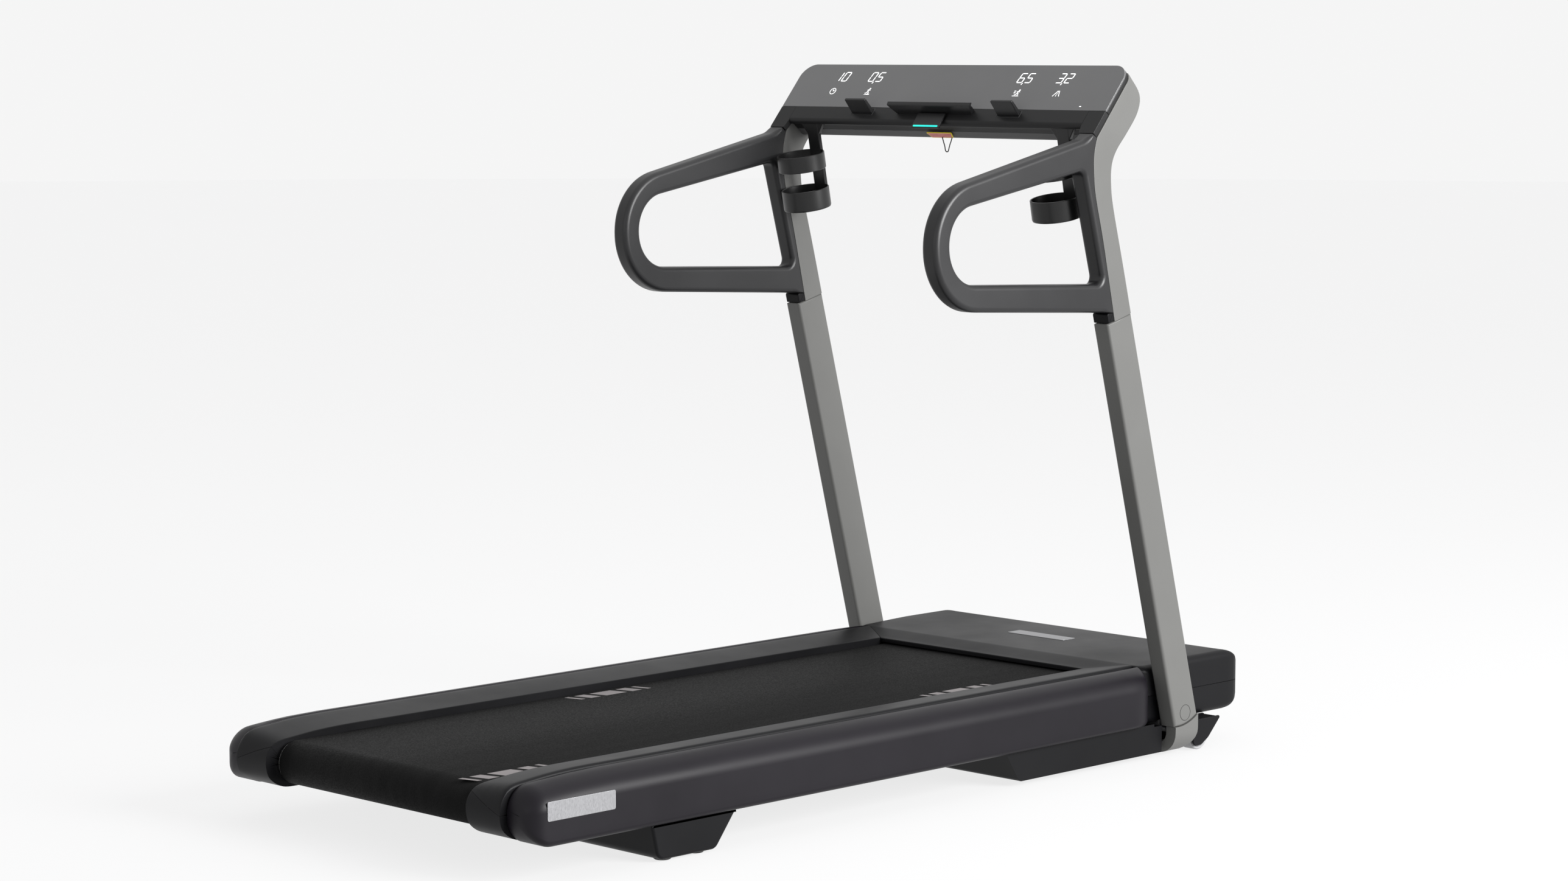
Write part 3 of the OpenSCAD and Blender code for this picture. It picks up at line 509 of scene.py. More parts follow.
def rail_piece(part):
    """The top rail (part 0) or its nose cap below the slanted seam (part 1)."""
    rows = []
    for x, rise in [(RAIL_IN, -12), (RAIL_IN, -5), (RAIL_IN, -1.2)] + CREST + [(RAIL_OUT, -5), (RAIL_OUT, -12)]:
        pts = []
        for i, (y, z) in enumerate(NOSE):
            # the walls grow deeper round the nose, and the crest fades out where the path turns down
            h = rise * (1 + 2.2 * ease((-790 - y) / 40)) if rise < -10 else rise
            a, b = NOSE[max(0, i - 1)], NOSE[min(len(NOSE) - 1, i + 1)]
            ty, tz = b[0] - a[0], b[1] - a[1]
            length = math.hypot(ty, tz)
            ny, nz = tz / length, -ty / length
            k = max(0.0, nz)
            pts.append((x, y + ny * h, z + nz * h) if h <= 0 else (x, y, z + h * (0.12 + 0.88 * k) * k))
        seam_z = 136 - (x - RAIL_IN) * 0.345
        cut = next(i for i, (y, z) in enumerate(NOSE) if y < -860 and z < seam_z)
        a, b = pts[cut - 1], pts[cut]
        f = (NOSE[cut - 1][1] - seam_z) / (NOSE[cut - 1][1] - NOSE[cut][1])
        seam = tuple(a[c] + (b[c] - a[c]) * f for c in range(3))
        if part == 0:
            y_end = 551.1 + (x - RAIL_IN) * 45.4 / 71 - 0.8 if x < 320 else 596.2
            z = RAIL_Z + h  # the wall keeps its depth under the nose all along the rail
            flat = [(x, y_end, z), (x, y_end - 3, z)] + [(x, 500 - 60 * j, z) for j in range(19)]
            rows.append(resample_tail(flat + pts[:cut] + [seam], len(flat), 34))
        else:
            rows.append(resample_tail([(seam[0], seam[1], seam[2] - 0.5)] + pts[cut:], 1, 26))
    return grid(rows)


def resample_tail(row, keep, count):
    """Keeps the first points and spaces the rest evenly, so that every row has the same number."""
    head, tail = row[:keep], row[keep - 1:]
    lengths = [0]
    for a, b in zip(tail, tail[1:]):
        lengths.append(lengths[-1] + math.dist(a, b))
    out = []
    j = 0
    for k in range(1, count + 1):
        t = lengths[-1] * k / count
        while j < len(lengths) - 2 and lengths[j + 1] < t:
            j += 1
        f = min(1, (t - lengths[j]) / max(1e-9, lengths[j + 1] - lengths[j]))
        out.append(tuple(p + (q - p) * f for p, q in zip(tail[j], tail[j + 1])))
    return head + out


make("top_rail", rail_piece(0), black_cover, "base", ["right_top_rail"], sharp=40, both=True)
cap_right, cap_left = make("end_cap", rail_piece(1), black_cover, "base", [], sharp=40,
                           both=True)
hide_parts("end_caps")
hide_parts("end_caps")


# ---------------------------------------------------------------- side panels
def panel_shape():
    rear_y, front_y, front_round = -872, 530, 66.2
    quarter = [math.radians(90 * k / 12) for k in range(13)]
    stations = [rear_y + 42 * (1 - math.cos(a)) for a in quarter]
    stations += [-820, -790, -760, -700] + [-600 + 100 * k for k in range(12)] + [520]
    stations += [front_y + front_round * math.sin(a) for a in quarter]

    def rounding(d, r):
        """How far a corner of radius r draws back at d from its end."""
        return r - math.sqrt(max(0, r ** 2 - (r - d) ** 2)) if d < r else 0

    rows = []
    for y in stations:
        d = y - rear_y
        x_in = 328.2 + 7.8 * ease((d - 26) / 60)
        zt = 161.3 - rounding(d, 34) - 11 * max(0, min(1, (-700 - y) / 172)) ** 2
        zb = 62 + rounding(d, 42)
        xo = 387.5 - rounding(d, 33)
        if y > front_y:
            xo -= 39 * (1 - math.sqrt(max(0, 1 - min(1, (y - front_y) / front_round) ** 2.4)))
        w = xo - x_in
        rx, rz = min(47, w * 0.93), min(36, (zt - zb) * 0.42)
        row = [(x_in, y, zt - 9), (x_in, y, zt - 2.6), (x_in + 0.6, y, zt - 1.6),
               (x_in + min(4, w * 0.2), y, zt - 0.7)]
        for k in range(15):
            a = math.radians(90 * k / 14)
            row.append((xo - rx + rx * math.sin(a), y, zt - rz + rz * math.cos(a)))
        r = min(10, w * 0.3)
        row += [(xo, y, (zt - rz) * 0.6 + (zb + r) * 0.4), (xo, y, (zt - rz) * 0.2 + (zb + r) * 0.8)]
        for k in range(7):
            a = math.radians(90 * k / 6)
            row.append((xo - r + r * math.cos(a), y, zb + r - r * math.sin(a)))
        row += [(x_in + w * 0.4, y, zb), (x_in, y, zb), (x_in, y, zb + 6)]
        rows.append(row)
    # the strip that closes the gap between the panel and the rail, below their edges
    strip = ([(321, -799, 142), (339, -799, 142), (339, 590, 142), (321, 590, 142)], [[0, 1, 2, 3]])
    return merge(grid(rows, caps=(True, False)), strip)


make("side_panel", panel_shape(), panel_dark, "base", ["right_side_panel"], sharp=38, both=True)


# ---------------------------------------------------------------- hood and front lower cover
def dish(chain, top, low, radius, low_z, across=24, steps=9):
    """A rounded lid with a skirt. chain is the right edge from back to front as (outer x, outer y, inner x,
    inner y), and is mirrored for the left. top(y) is the height of the lid, radius(i) the height of its rim and
    low_z(i) where the skirt ends. The rim turns down when low is below the lid, and up when it is above."""
    rows = [(*edge, radius(i), low_z(i)) for i, edge in enumerate(chain)]
    lid = [[(ix * (1 - 2 * k / across), iy, top(iy)) for k in range(across + 1)] for _, _, ix, iy, _, _ in rows]

    def crossing(row, way):
        """The points between the two sides along one end, from the right (way 1) or from the left (-1)."""
        ox, oy, ix, iy, rz, lz = row
        return [(ox * way * (1 - 2 * k / across), oy, ix * way * (1 - 2 * k / across), iy, rz, lz)
                for k in range(1, across)]

    ring = rows + crossing(rows[-1], 1)
    ring += [(-ox, oy, -ix, iy, rz, lz) for ox, oy, ix, iy, rz, lz in reversed(rows)]
    ring += crossing(rows[0], -1)
    skirt = []
    for ox, oy, ix, iy, rz, lz in ring:
        zt = top(iy)
        way = 1 if low < zt else -1
        col = []
        for k in range(steps + 1):
            a = math.radians(90 * k / steps)
            z = zt - way * rz * (1 - math.cos(a))
            col.append((ix + (ox - ix) * math.sin(a), iy + (oy - iy) * math.sin(a), z))
        col += [(ox, oy, (zt - way * rz) * 0.5 + lz * 0.5), (ox, oy, lz)]
        skirt.append(col)
    return merge(grid(lid), grid(skirt, around=True))


# right edge of the hood and of the front cover: straight, then an outer corner of radius 36
HOOD_X, HOOD_IN = 352, 338
hood_side = [(HOOD_X, y, HOOD_IN, y) for y in (640, 680, 720, 760, 795, 820)] + [(HOOD_X, 838, HOOD_IN, 830)]
for k in range(1, 11):
    a = math.radians(90 * k / 10)
    hood_side.append((HOOD_X - 36 + 36 * math.cos(a), 848 + 36 * math.sin(a), HOOD_IN - 22 * k / 10, 830))


HOOD_Y = 551.5  # rear edge, against the belt opening


def hood_top(y):
    if y < 600:
        return RAIL_Z + (y - HOOD_Y) * 0.196
    return 162.5 + 3.5 * ease((y - 600) / 130)


# the mitre beside the rail, then the corner at the rail's end
mitre = [(RAIL_IN + 71 * t, HOOD_Y + 45.5 * t, 248 + 71 * t, 553.2 + 45.5 * t)
         for t in (0, 0.25, 0.5, 0.75, 0.97)]
hood_lead = mitre + [(330, 597, 328, 601), (345, 597, 334, 606), (HOOD_X, 606, 337, 614)]


def hood_rim(i):
    if i < len(mitre):
        return 1.6
    if i < len(hood_lead):
        return (5, 9, 13)[i - len(mitre)]
    return 14 + 40 * ease((i - len(hood_lead) - 7) / 10)


hood_shape = dish(hood_lead + hood_side, hood_top, 109, hood_rim, lambda i: 146 if i < 6 else 109.3)
make("hood", hood_shape, black_cover, "base", ["hood"], sharp=50, weighted=False)
cover_shape = dish([(HOOD_X, 606, HOOD_IN, 608)] + hood_side, lambda y: 57.3, 200,
                   lambda i: 14 + 36 * ease((i - 7) / 10), lambda i: 108.5)
make("front_lower_cover", cover_shape, black_cover, "base", ["front_lower_cover"], sharp=50,
     weighted=False)

# ---------------------------------------------------------------- badge plates, left plain
make("hood_badge", slab(rounded(box2(-71, 709.5, 67, 744.5, 3), 5), 165.6, 166.3, 0.3, along_z, 2), badge_metal,
     "base", ["badge_plates"])
make("side_badge", slab(rounded(box2(-843, 103, -705, 133, 3), 5), 387.3, 388.1, 0.3, along_x, 2), badge_metal,
     "base", [], both=True)

# ---------------------------------------------------------------- rear foot, belly pan, wheels
foot = rounded([(-615, 61.5, 1), (-601, 3, 16), (-477, 3, 16), (-431, 61.5, 1)], 8)
make("rear_foot", slab(foot, -372, 372, 5, along_x, 4), black_cover, "base", ["rear_foot"])


def treat(node, mat, smooth=35, bevel=0.0):
    """A CAD node that stays on show: its finish, its soft edges and its shading."""
    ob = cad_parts[node]
    ob.data.materials.clear()
    ob.data.materials.append(mat)
    ob.data.polygons.foreach_set("use_smooth", [True] * len(ob.data.polygons))
    w = ob.modifiers.new("weld", "WELD")
    w.merge_threshold = 1e-6
    if bevel:
        m = ob.modifiers.new("edges", "BEVEL")
        m.width, m.segments, m.limit_method, m.angle_limit = bevel * MM, 2, "ANGLE", math.radians(40)
    m = ob.modifiers.new("normals", "WEIGHTED_NORMAL")
    m.keep_sharp = True
    return ob


pad = [(0, 3.2), (13.2, 3.2), (13.9, 2.6), (14, 1.2), (12.6, 0), (0.01, 0)]
pads = [lathe(pad, lambda p, q, t, x=x, y=y: (x + p, y + q, t), 40, whole=False)
        for x in (-352, 352) for y in (-575, -505)]
make("foot_pads", merge(*pads), rubber_black, "base", ["rear_foot_pads"])

GUARD = rounded([(706, 56.8, 2), (706, 9, 8), (728, 9, 12), (748, 20, 30), (785, 56.8, 3)], 6)
roof = rounded([(711, 53, 1), (775, 53, 1), (781, 55.6, 1), (711, 55.9, 1)], 2)
guard = merge(slab(GUARD, 376, 380, 1.5, along_x, 3), slab(GUARD, 340, 344, 1, along_x, 2),
              slab(roof, 343, 377, 0.5, along_x, 2))
make("wheel_guard", guard, black_cover, "lift_frame", [], both=True)
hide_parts("wheel_guards")
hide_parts("wheel_guards")


WHEEL_Y, WHEEL_Z = 729, 26
# (radius, x) round one wheel, with its hub, web and grooved tread
wheel_profile = [(6.06, 347.3), (10.5, 347.3), (11, 349), (20, 349), (21, 347.3), (24.8, 347.3), (26, 348.8),
                 (26, 350.5), (25.6, 351), (25.6, 352.4), (26, 353), (26, 367), (25.6, 367.6), (25.6, 369),
                 (26, 369.6), (26, 371.2), (24.8, 372.7), (21, 372.7), (20, 371), (19.6, 366), (11.2, 366),
                 (10.5, 371.8), (6.06, 371.8)]
wheel = lathe(wheel_profile, lambda p, q, t: (t, WHEEL_Y + p, WHEEL_Z + q), 72)
make("wheel", wheel, wheel_grey, "right_wheel", ["right_wheel"], both=True)
for label, sign in (("right", 1), ("left", -1)):
    ribs = []
    for k in range(6):
        c, q = math.cos(math.radians(60 * k)), math.sin(math.radians(60 * k))
        rib = [(sign * x, WHEEL_Y + r * c - w * q, WHEEL_Z + r * q + w * c)
               for r in (10.8, 19.9) for w in (-0.9, 0.9) for x in (365.5, 370.2)]
        ribs.append((rib, [[0, 1, 3, 2], [4, 6, 7, 5], [0, 4, 5, 1], [2, 3, 7, 6], [1, 5, 7, 3], [0, 2, 6, 4]]))
    make(label + "_wheel_ribs", merge(*ribs), wheel_grey, label + "_wheel", [], bevel=0.3)

# ---------------------------------------------------------------- uprights, feet and caps
UPRIGHT_IN, UPRIGHT_OUT = 357.5, 392.5


def on_lean(p, q, t):
    return lean(t, p, q)


def upright_outline():
    """Side of the upright, with its lower end cut to the arc of the foot."""
    half, top, shoulder = 32.5, 739, 71.5
    out = [(-half, top), (-half, shoulder)]
    for k in range(13):
        a = math.radians(-109.16 + 38.32 * k / 12)
        out.append((99 * math.cos(a), 78 + 99 * math.sin(a)))
    return out + [(half, shoulder), (half, top)]


make("upright", slab(upright_outline(), UPRIGHT_IN, UPRIGHT_OUT, 5.5, on_lean, 6), upright_grey, "base",
     ["right_upright"], sharp=40, both=True)
cap_profile = [(0.01, 392.8), (12.4, 392.75), (13.4, 392.6), (13.7, 392.2), (13.7, 389)]
make("bolt_cap", lathe(cap_profile, on_lean, 48, whole=False), upright_grey, "base", [],
     both=True)
ring_profile = [(13.7, 392.2), (13.7, 392.78), (14.1, 392.86), (14.5, 392.78), (14.5, 392.2)]
make("bolt_cap_ring", lathe(ring_profile, on_lean, 48), rubber_black, "base", [], both=True)
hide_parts("bolt_caps")
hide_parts("bolt_caps")
for mat, nodes in ((frame_steel, ("frame_rails", "frame_crossmembers", "motor_case", "motor_bracket",
                                  "lift_motor", "lift_pivot_tube", "lift_arms")),
                   (zinc, ("deck_screws", "front_roller", "roller_pulley", "rear_roller", "roller_axles",
                           "motor_rotor", "lift_screw_tube", "lift_pivot_shaft", "lift_axle", "clamp_bolts",
                           "lever_pins")),
                   (rubber_black, ("deck_cushions", "drive_belt")), (board_wood, ("deck_board",)),
                   (board_green, ("motor_controller", "display_board")), (black_cover, ("power_inlet",)),
                   (switch_red, ("power_switch",))):
    for node in nodes:
        treat(node, mat)
treat("belly_pan", black_cover, bevel=2.5)
treat("upright_feet", upright_grey, bevel=1.2)

# ---------------------------------------------------------------- upper arms and handles
SEAM = curve_through([(460, 788), (444, 857), (427, 929), (407, 1003), (401.5, 1042), (401, 1070), (404, 1088),
                      (409, 1104.6)], 5)
ARM_FRONT = curve_through([(506.5, 801), (485, 882), (457, 984), (450.5, 1024), (451.5, 1056), (463, 1081),
                           (488, 1108), (511, 1134), (521, 1150), (525.6, 1165), (524.5, 1176), (519, 1188),
                           (509, 1201), (497.5, 1214.6)], 5)


def spaced(line, count):
    """An open line with count points at even steps along it."""
    return resample_tail([line[0]] + list(line[1:]), 1, count - 1)


def arm_shape():
    """Cross-sections from the upright to the top corner, where the arm rolls in as the glass does."""
    x0, x1, rear_r, front_r, count = UPRIGHT_IN, UPRIGHT_OUT, 1.2, 6.0, 70
    rear_line = spaced(SEAM + [face(-11.6, 90)[1:], face(-12.6, 94)[1:]], count)
    front_line = spaced(ARM_FRONT[:-4] + [face(-23, 91)[1:], face(-18.5, 94)[1:]], count)
    rows = []
    for (y0, z0), (y1, z1) in zip(rear_line, front_line):
        w = math.dist((y0, z0), (y1, z1))
        r = min(front_r, w * 0.45)
        turns = [math.radians(15 * k) for k in range(7)]
        arc_points = [(r * math.cos(a), r * math.sin(a)) for a in turns]
        section = [(x0 + rear_r, 0), (x0 + 0.35, 0.35), (x0, rear_r), (x0, w * 0.3), (x0, w * 0.6)]
        section += [(x0 + r - c, w - r + q) for c, q in arc_points]
        section += [(x1 - r + q, w - r + c) for c, q in arc_points]
        section += [(x1, w * 0.6), (x1, w * 0.3), (x1, rear_r), (x1 - 0.35, 0.35), (x1 - rear_r, 0)]
        row = []
        for x, q in section:
            y, z = y0 + (y1 - y0) * q / w, z0 + (z1 - z0) * q / w
            s = (y - FACE_Y) * math.sin(TILT) + (z - FACE_Z) * math.cos(TILT)
            limit = 361 + math.sqrt(max(0, 31.5 ** 2 - max(0, s - 70) ** 2))  # the glass's own corner
            row.append((min(x, limit), y, z))
        rows.append(row)
    return grid(rows, wrap=True, caps=(True, True))


make("upper_arm", arm_shape(), upright_grey, "base", ["right_upper_arm"], sharp=40, both=True)


def ray_hit(p, d, poly):
    """Distance from p along d to a closed outline."""
    best = None
    n = len(poly)
    for i in range(n):
        a, b = poly[i], poly[(i + 1) % n]
        ex, ey = b[0] - a[0], b[1] - a[1]
        den = d[0] * ey - d[1] * ex
        if abs(den) < 1e-9:
            continue
        t = ((a[0] - p[0]) * ey - (a[1] - p[1]) * ex) / den
        u = ((a[0] - p[0]) * d[1] - (a[1] - p[1]) * d[0]) / den
        if t > 0.5 and -1e-6 <= u <= 1 + 1e-6 and (best is None or t < best):
            best = t
    return best


def even(outline, step):
    """Closed outline with its long runs cut to about step."""
    out = []
    for i, a in enumerate(outline):
        b = outline[(i + 1) % len(outline)]
        m = max(1, int(math.dist(a, b) / step + 0.5))
        out += [(a[0] + (b[0] - a[0]) * k / m, a[1] + (b[1] - a[1]) * k / m) for k in range(m)]
    return out


def handle_shape():
    """A loop round its hole: every ring runs once round the hole, and the rings go round the section."""
    seam = [(y - 0.5, z) for y, z in SEAM]
    corners = [(399.8, 1111.4), (408.6, 1104.4), (456.2, 803)]
    outer = rounded([(*corners[0], 1.5), (378, 1101.4, 34), (4.5, 1017.6, 108), (4.5, 825.4, 108),
                     (441, 803, 1), (*corners[2], 1)], 24)
    outer += [p for p in seam if 806 < p[1] < 1100] + [corners[1]]
    hole = even(rounded([(376.5, 1047.6, 12), (42, 987.4, 65.5), (42, 868, 65.5), (430.5, 853.2, 12)], 20), 9)
    if not is_ccw(hole):
        hole.reverse()
    if not is_ccw(outer):
        outer.reverse()
    inner, out = [], []
    for i in range(len(hole)):
        a, b, c = (Vector(hole[j % len(hole)]) for j in (i - 1, i, i + 1))
        d = (c - a).normalized()
        away = (d.y, -d.x)
        t = ray_hit(b, away, outer)
        if t is None:
            continue
        inner.append(tuple(b))
        out.append((b.x + away[0] * t, b.y + away[1] * t))
    # put the true corners of the outside on the nearest spoke
    for corner in corners:
        out[min(range(len(out)), key=lambda j: math.dist(out[j], corner))] = corner
    # the outer edge is soft where it is free, and nearly sharp where it meets the arm
    r_out = [1.2 + 8.3 * ease((min(math.dist(p, q) for q in seam) - 3) / 22) for p in out]
    r_in = [9.0] * len(inner)
    rows = []
    steps = 6

    def quarter_turn(points, radii, inward, end, way, order):
        for k in order:
            phi = math.pi / 2 * k / steps
            ring = inset(points, [inward * r * (1 - math.sin(phi)) for r in radii])
            rows.append([(end + way * r * (1 - math.cos(phi)), p[0], p[1]) for p, r in zip(ring, radii)])

    rising, falling = range(steps + 1), range(steps, -1, -1)
    quarter_turn(out, r_out, 1, UPRIGHT_IN, 1, rising)
    quarter_turn(out, r_out, 1, UPRIGHT_OUT, -1, falling)
    quarter_turn(inner, r_in, -1, UPRIGHT_OUT, -1, rising)
    quarter_turn(inner, r_in, -1, UPRIGHT_IN, 1, falling)
    return grid(rows, wrap=True, around=True)


make("handle", handle_shape(), handle_grey, "base", ["right_handle"], sharp=42, both=True)
block = [(444.6, 784.5, 1), (459.4, 788.4, 1), (456.4, 802.4, 1), (440, 802.4, 4)]
make("handle_end_block", slab(rounded(block, 4), 358, 392, 1.5, along_x, 3), black_cover, "base", [],
     both=True)
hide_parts("handle_end_blocks")
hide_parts("handle_end_blocks")

# ---------------------------------------------------------------- console
glass = rounded([(-391, 0.4, 1.5), (391, 0.4, 1.5), (391, 101, 31), (-391, 101, 31)], 14)
make("display_glass", slab(glass, -4, 0, 0.7, face_out, 3), display_glass, "base", ["display_glass"])
tray_shape = slab(glass, -11, -4.2, 0.8, face_out, 3)
# the band below the glass rolls under at its lower edge
band = rounded([(-11, -0.2, 0), (-11, -30, 2), (-8.6, -34.6, 1.5), (0.3, -31.8, 8), (0.3, -0.2, 0.8)], 8)

band_shape = slab(band, -354, 354, 0.3, face_x, 2)
ends = []
for sign in (1, -1):
    side = rounded([(354, -0.2, 0.5), (391, -0.2, 0.5), (391, -49.2, 1), (357.7, -49.2, 1), (354, -32, 10)], 6)
    side = [(p * sign, q) for p, q in side]
    ends.append(slab(side, -11, 0.3, 0.8, face_out, 3))
make("console_face", merge(tray_shape, band_shape, *ends), console_black, "base", ["console_face"],
     sharp=40)

LEVER_X = 177
for label, x in (("left", -LEVER_X), ("right", LEVER_X)):
    rim = rounded(box2(x - 27, -18.6, x + 27, -2.2, 2), 4)
    slot = rounded(box2(x - 25.6, -17.2, x + 25.6, -3.6, 1.4), 4)
    rows = [[face(n, q, p) for p, q in line]
            for n, line in ((0.2, rim), (0.9, inset(rim, 0.5)), (0.9, slot), (-6, slot))]
    make("lever_collar_" + label, grid(rows, wrap=True), lever_black, "base", [])

lever = rounded([(-13, -5.6, 1), (2, -6, 14), (31.6, -3.6, 1.6), (32, -8.8, 1.6), (2, -14.4, 18),
                 (-13, -14.6, 1)], 6)
for label, x in (("incline_lever", -LEVER_X), ("speed_lever", LEVER_X)):
    make(label, slab(lever, x - 25, x + 25, 1.6, face_x, 4), lever_black, label, [label])

shelf = rounded([(0.4, -2.6, 0), (12, -5, 3), (18.4, -7.6, 2), (21.2, -3.4, 1.1), (25, -5.4, 1.4),
                 (23.6, -12.5, 2.5), (9, -13, 5), (0.4, -13, 0)], 6)


def shelf_shape():
    """A lip across the middle, wider at its rim than where it meets the face."""
    v, f = slab(shelf, -1, 1, 0.004, face_x, 2)
    out = []
    for x, y, z in v:
        n = (y - FACE_Y) * -math.cos(TILT) + (z - FACE_Z) * math.sin(TILT)
        out.append(((90 + 10 * max(0, min(1, n / 24))) * (1 if x > 0 else -1), y, z))
    return out, f


make("tablet_shelf", shelf_shape(), lever_black, "base", ["tablet_shelf"], bevel=0.8)
paddle = rounded([(1.8, -14.2, 1.2), (5.8, -15.2, 1.6), (4.6, -46.6, 2), (0.4, -47.8, 1.2), (1.6, -30, 10)], 6)
make("start_paddle", slab(paddle, -33, 33, 0.8, face_x, 3), lever_black, "start_paddle", ["start_paddle"])
strip = rounded(box2(-29.5, -45.4, 29.5, -42.2, 1.5), 5)


def strip_place(p, q, t):
    """On the front of the paddle, which slopes a little from the console face."""
    return face(4.66 + (q + 46.6) * 0.038 + t, q, p)


make("start_light", slab(strip, -0.4, 0.25, 0.12, strip_place, 2), light_teal, "start_paddle",
     ["start_light"])

# back of the console: a black trough above the seam, the grey bar below and behind it
BACK_X = 356.8
trough = curve_through([(436, 1136.8), (428, 1127.6), (424.6, 1122.6), (425.2, 1119.4), (428.6, 1117),
                        (437.4, 1109.6)], 4) + [(441, 1113.6), (446, 1132)]
make("console_trough", slab(trough, -BACK_X, BACK_X, 0.4, along_x, 2), console_black, "base", [],
     sharp=50)
bar = [(438, 1109, 0.6), (452, 1098.4, 5), (470, 1096.8, 16), (530.5, 1165, 22), (519.5, 1198, 18),
       (505.8, 1219.4, 1), (497, 1212, 0), (444, 1128, 0)]
make("console_back_cover", slab(rounded(bar, 8), -BACK_X, BACK_X, 0.4, along_x, 2), cover_grey, "base",
     ["console_back_cover"], sharp=40)

# ---------------------------------------------------------------- safety key
KEY = math.radians(38)
KEY_Y, KEY_Z = 443, 1104.5


def key_at(p, q, t):
    """p across, q down the slope toward the front, t out of the console."""
    return (p, KEY_Y + q * math.cos(KEY) - t * math.sin(KEY), KEY_Z - q * math.sin(KEY) - t * math.cos(KEY))


tag = rounded([(-30, -7, 1.5), (30, -7, 1.5), (25, 7, 1.5), (-25, 7, 1.5)], 4)
make("safety_key", slab(tag, 1.5, 3.3, 0.4, key_at, 3), key_red, "safety_key", ["safety_key"])
rows = []
for d, t in ((-0.45, 1.7), (-0.45, 3.1), (0.5, 3.45), (0.9, 3.3), (0.9, 1.5), (0.5, 1.35)):
    rows.append([key_at(p, q, t) for p, q in inset(tag if is_ccw(tag) else tag[::-1], d)])
make("safety_key_edge", grid(rows, wrap=True, around=True), key_yellow, "safety_key", [])
make("safety_key_plug", slab(rounded(box2(-20, -4, 20, 4, 1), 3), -8, 1.6, 0.5, key_at, 2), key_red,
     "safety_key", [])


# ---------------------------------------------------------------- bottle holders
def holder_shape():
    """A ring over a cup, on a strap that widens where it meets the console."""
    tilt = math.radians(11)

    def at(p, q, t):
        z = 1033 + q * math.sin(tilt) + t * math.cos(tilt)
        return (303 + p, 397 + q * math.cos(tilt) - t * math.sin(tilt), z)

    ring = [(41.4, 2.6), (42, 2), (43.2, 2), (44, 2.8), (44, 31.2), (43.2, 32), (42, 32), (41.4, 31.4)]
    cup = [(0.01, -71), (40, -71), (43, -70), (44, -67), (44, -33.8), (43.2, -33), (42, -33), (41.4, -33.6),
           (41.4, -66), (39.6, -68), (0.01, -68)]
    strap = rounded([(38.6, -70, 1), (46.4, -70, 3), (46.4, 83, 1), (38.6, 83, 1)], 4)
    flare = rounded([(-13.6, 60, 2), (13.6, 60, 2), (30, 84, 2), (30, 88, 0), (-30, 88, 0), (-30, 84, 2)], 5)
    return merge(lathe(ring, at, 72), lathe(cup, at, 72, whole=False),
                 slab(strap, -14, 14, 1.6, lambda p, q, t: at(t, p, q), 3),
                 slab(flare, 39, 47.4, 1.4, lambda p, q, t: at(p, t, q), 3))


make("bottle_holder", holder_shape(), cup_black, "base", [], sharp=40, both=True)
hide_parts("bottle_holders")
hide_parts("bottle_holders")

# ---------------------------------------------------------------- figures and symbols on the glass
SEGMENTS = {"0": "abcdef", "1": "bc", "2": "abged", "3": "abgcd", "5": "afgcd", "6": "afgedc"}
SLANT = 0.2


def stroke(a, b, w, cut=0.0):
    """Flat bar from a to b, its ends pulled in by cut."""
    a, b = Vector(a), Vector(b)
    d = (b - a).normalized()
    a, b = a + d * cut, b - d * cut
    n = Vector((-d.y, d.x)) * w / 2
    t = d * w / 2
    return [a - n, a - t, a + n, b + n, b + t, b - n]


def decal(polys, x0, s0, slant=0.0):
    """Flat shapes just proud of the glass, drawn about (x0, s0)."""
    parts = []
    for poly in polys:
        pts = [(x0 + p[0] + slant * p[1], s0 + p[1]) for p in poly]
        top = [face(0.14, q, p) for p, q in pts]
        low = [face(-0.05, q, p) for p, q in pts]
        n = len(pts)
        sides = [[i, i + n, (i + 1) % n + n, (i + 1) % n] for i in range(n)]
        parts.append((top + low, [list(range(n)), list(range(2 * n - 1, n - 1, -1))] + sides))
    return merge(*parts)


def figure(ch, w=12.0, h=20.5, t=1.9):
    c = {"a": ((0, h), (w, h)), "b": ((w, h), (w, h / 2)), "c": ((w, h / 2), (w, 0)), "d": ((0, 0), (w, 0)),
         "e": ((0, h / 2), (0, 0)), "f": ((0, h), (0, h / 2)), "g": ((0, h / 2), (w, h / 2))}
    return [stroke(*c[k], t, 1.2) for k in SEGMENTS[ch]]


def number(text, x, s):
    """Slanted figures with their lower left corner at (x, s)."""
    pitch = 18.5
    polys = []
    at = 0
    for ch in text:
        if ch == ",":
            polys.append([(at - 4.4, -1), (at - 2.4, -1), (at - 3.4, -5), (at - 5, -5)])
            continue
        polys += [[(p[0] + at, p[1]) for p in poly] for poly in figure(ch)]
        at += pitch
    return decal(polys, x, s, SLANT)


def circle(cx, cy, r, w, n):
    """A ring of radius r and width w, as n four-sided pieces."""
    turns = [math.radians(360 * k / n) for k in range(n + 1)]
    out, inn = ([(cx + q * math.cos(a), cy + q * math.sin(a)) for a in turns] for q in (r + w / 2, r - w / 2))
    return [[out[i], out[i + 1], inn[i + 1], inn[i]] for i in range(n)]


def clock():
    return circle(0, 0, 6.6, 1.2, 36) + [stroke((0, 0), (0, 4), 1.1), stroke((0, 0), (3.2, 1.4), 1.1)]


def runner():
    body = [((2.4, 4.6), (0.4, 0.6), 2), ((2.2, 4.2), (5.4, 2.6), 1), ((2, 4.4), (-1.6, 3.2), 1),
            ((0.6, 0.6), (3.4, -1.6), 1.3), ((3.4, -1.6), (2.8, -4.8), 1.2), ((0.4, 0.4), (-1.6, -3.4), 1.3),
            ((-1.6, -3.4), (-4.6, -4), 1.2)]
    return circle(3.4, 6.6, 0.9, 1.6, 12) + [stroke(*limb) for limb in body]


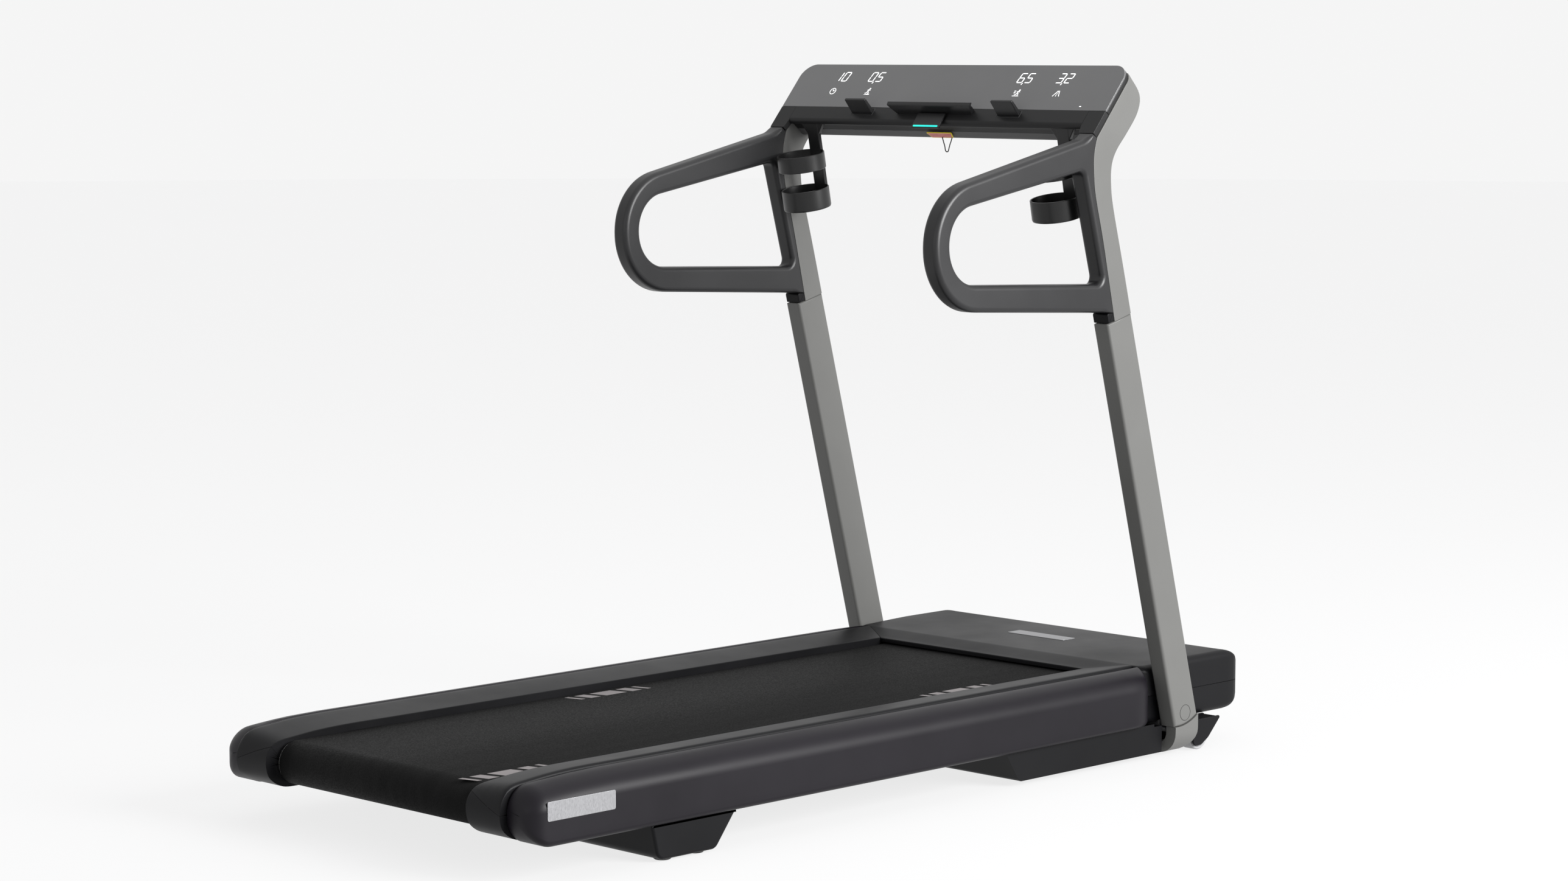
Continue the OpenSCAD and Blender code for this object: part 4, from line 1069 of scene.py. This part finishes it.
def slope_icon():
    return runner() + [[(-7, -7.4), (7, -7.4), (7, -4.8)]]


def belt_icon():
    speed_lines = [stroke((-8, y), (-4.4, y), 0.9) for y in (5, 2.6, 0.2)]
    return runner() + [stroke((-8, -6.4), (6, -6.4), 1.1)] + speed_lines


def road_icon():
    edges = [stroke((-7, -6), (-1.6, 6), 1.2), stroke((7, -6), (1.6, 6), 1.2)]
    return edges + [stroke((0, y), (0, y - 2.4), 1) for y in (5, 0.6, -3.6)]


# each drawing with its x and its height up the glass
FIGURE_S, SYMBOL_S = 61, 37
for label, shape in (("time_figures", number("10", -296, FIGURE_S)),
                     ("grade_figures", number("0,5", -209, FIGURE_S)),
                     ("speed_figures", number("6,5", 153, FIGURE_S)),
                     ("distance_figures", number("3,2", 244, FIGURE_S)),
                     ("clock_symbol", decal(clock(), -283, SYMBOL_S)),
                     ("slope_symbol", decal(slope_icon(), -195, SYMBOL_S)),
                     ("belt_symbol", decal(belt_icon(), 168, SYMBOL_S)),
                     ("road_symbol", decal(road_icon(), 261, SYMBOL_S, 0.15)),
                     ("standby_dot", decal([box2(-2, -0.8, 2, 0.8, 0)], 329, 9))):
    make(label, shape, digit_white, "base", [], weighted=False)

# ---------------------------------------------------------------- printed bars on the belt
marks = merge(bars(192, 226, -766), bars(190, 226, 273), bars(-226, -193, -177))
make("belt_marks", marks, mark_white, "base", [], weighted=False)


# ---------------------------------------------------------------- floor, lights and world
FLOOR_DROP, FLOOR_R = 0.8, 30000
floor_white, fn, fl, fs = material("floor_white", (0.1, 0.1, 0.101), 0.9, 0.02)
tint(fn, fl, noise(fn, fl, 0.4, 2).outputs["Fac"], (0.098, 0.098, 0.099), (0.102, 0.102, 0.103),
     fs.inputs["Base Color"])
fs.inputs["Emission Color"].default_value = (1, 1, 1, 1)
fs.inputs["Emission Strength"].default_value = 0.79
rim = [(FLOOR_R * math.cos(a) * MM, FLOOR_R * math.sin(a) * MM, -FLOOR_DROP * MM)
       for a in (math.radians(5 * k) for k in range(72))]
floor_mesh = bpy.data.meshes.new("floor")
floor_mesh.from_pydata(rim, [], [list(range(72))])
floor_mesh.materials.append(floor_white)
floor_ob = bpy.data.objects.new("floor", floor_mesh)
bpy.context.scene.collection.objects.link(floor_ob)


def softbox(name, place, target, size, power):
    data = bpy.data.lights.new(name, "AREA")
    data.shape = "RECTANGLE"
    data.size, data.size_y = size
    data.energy = power
    ob = bpy.data.objects.new(name, data)
    ob.location = place
    ob.rotation_euler = aim(Vector(target) - Vector(place))
    bpy.context.scene.collection.objects.link(ob)


softbox("key", (5.6, 1.5, 2.6), (0, 0, 0.7), (3.5, 2.6), 880)
softbox("top", (0.0, 1.2, 5.2), (0, 0.21, 0.3), (6, 6), 50)
softbox("fill", (0.5, -6.5, 2.4), (0, 0, 0.5), (4, 3), 30)
world = bpy.data.worlds.new("studio")
world.use_nodes = True
world.node_tree.nodes["Background"].inputs["Color"].default_value = (1, 1, 1, 1)
world.node_tree.nodes["Background"].inputs["Strength"].default_value = 0.915
bpy.context.scene.world = world
bpy.context.scene.view_settings.view_transform = "Standard"
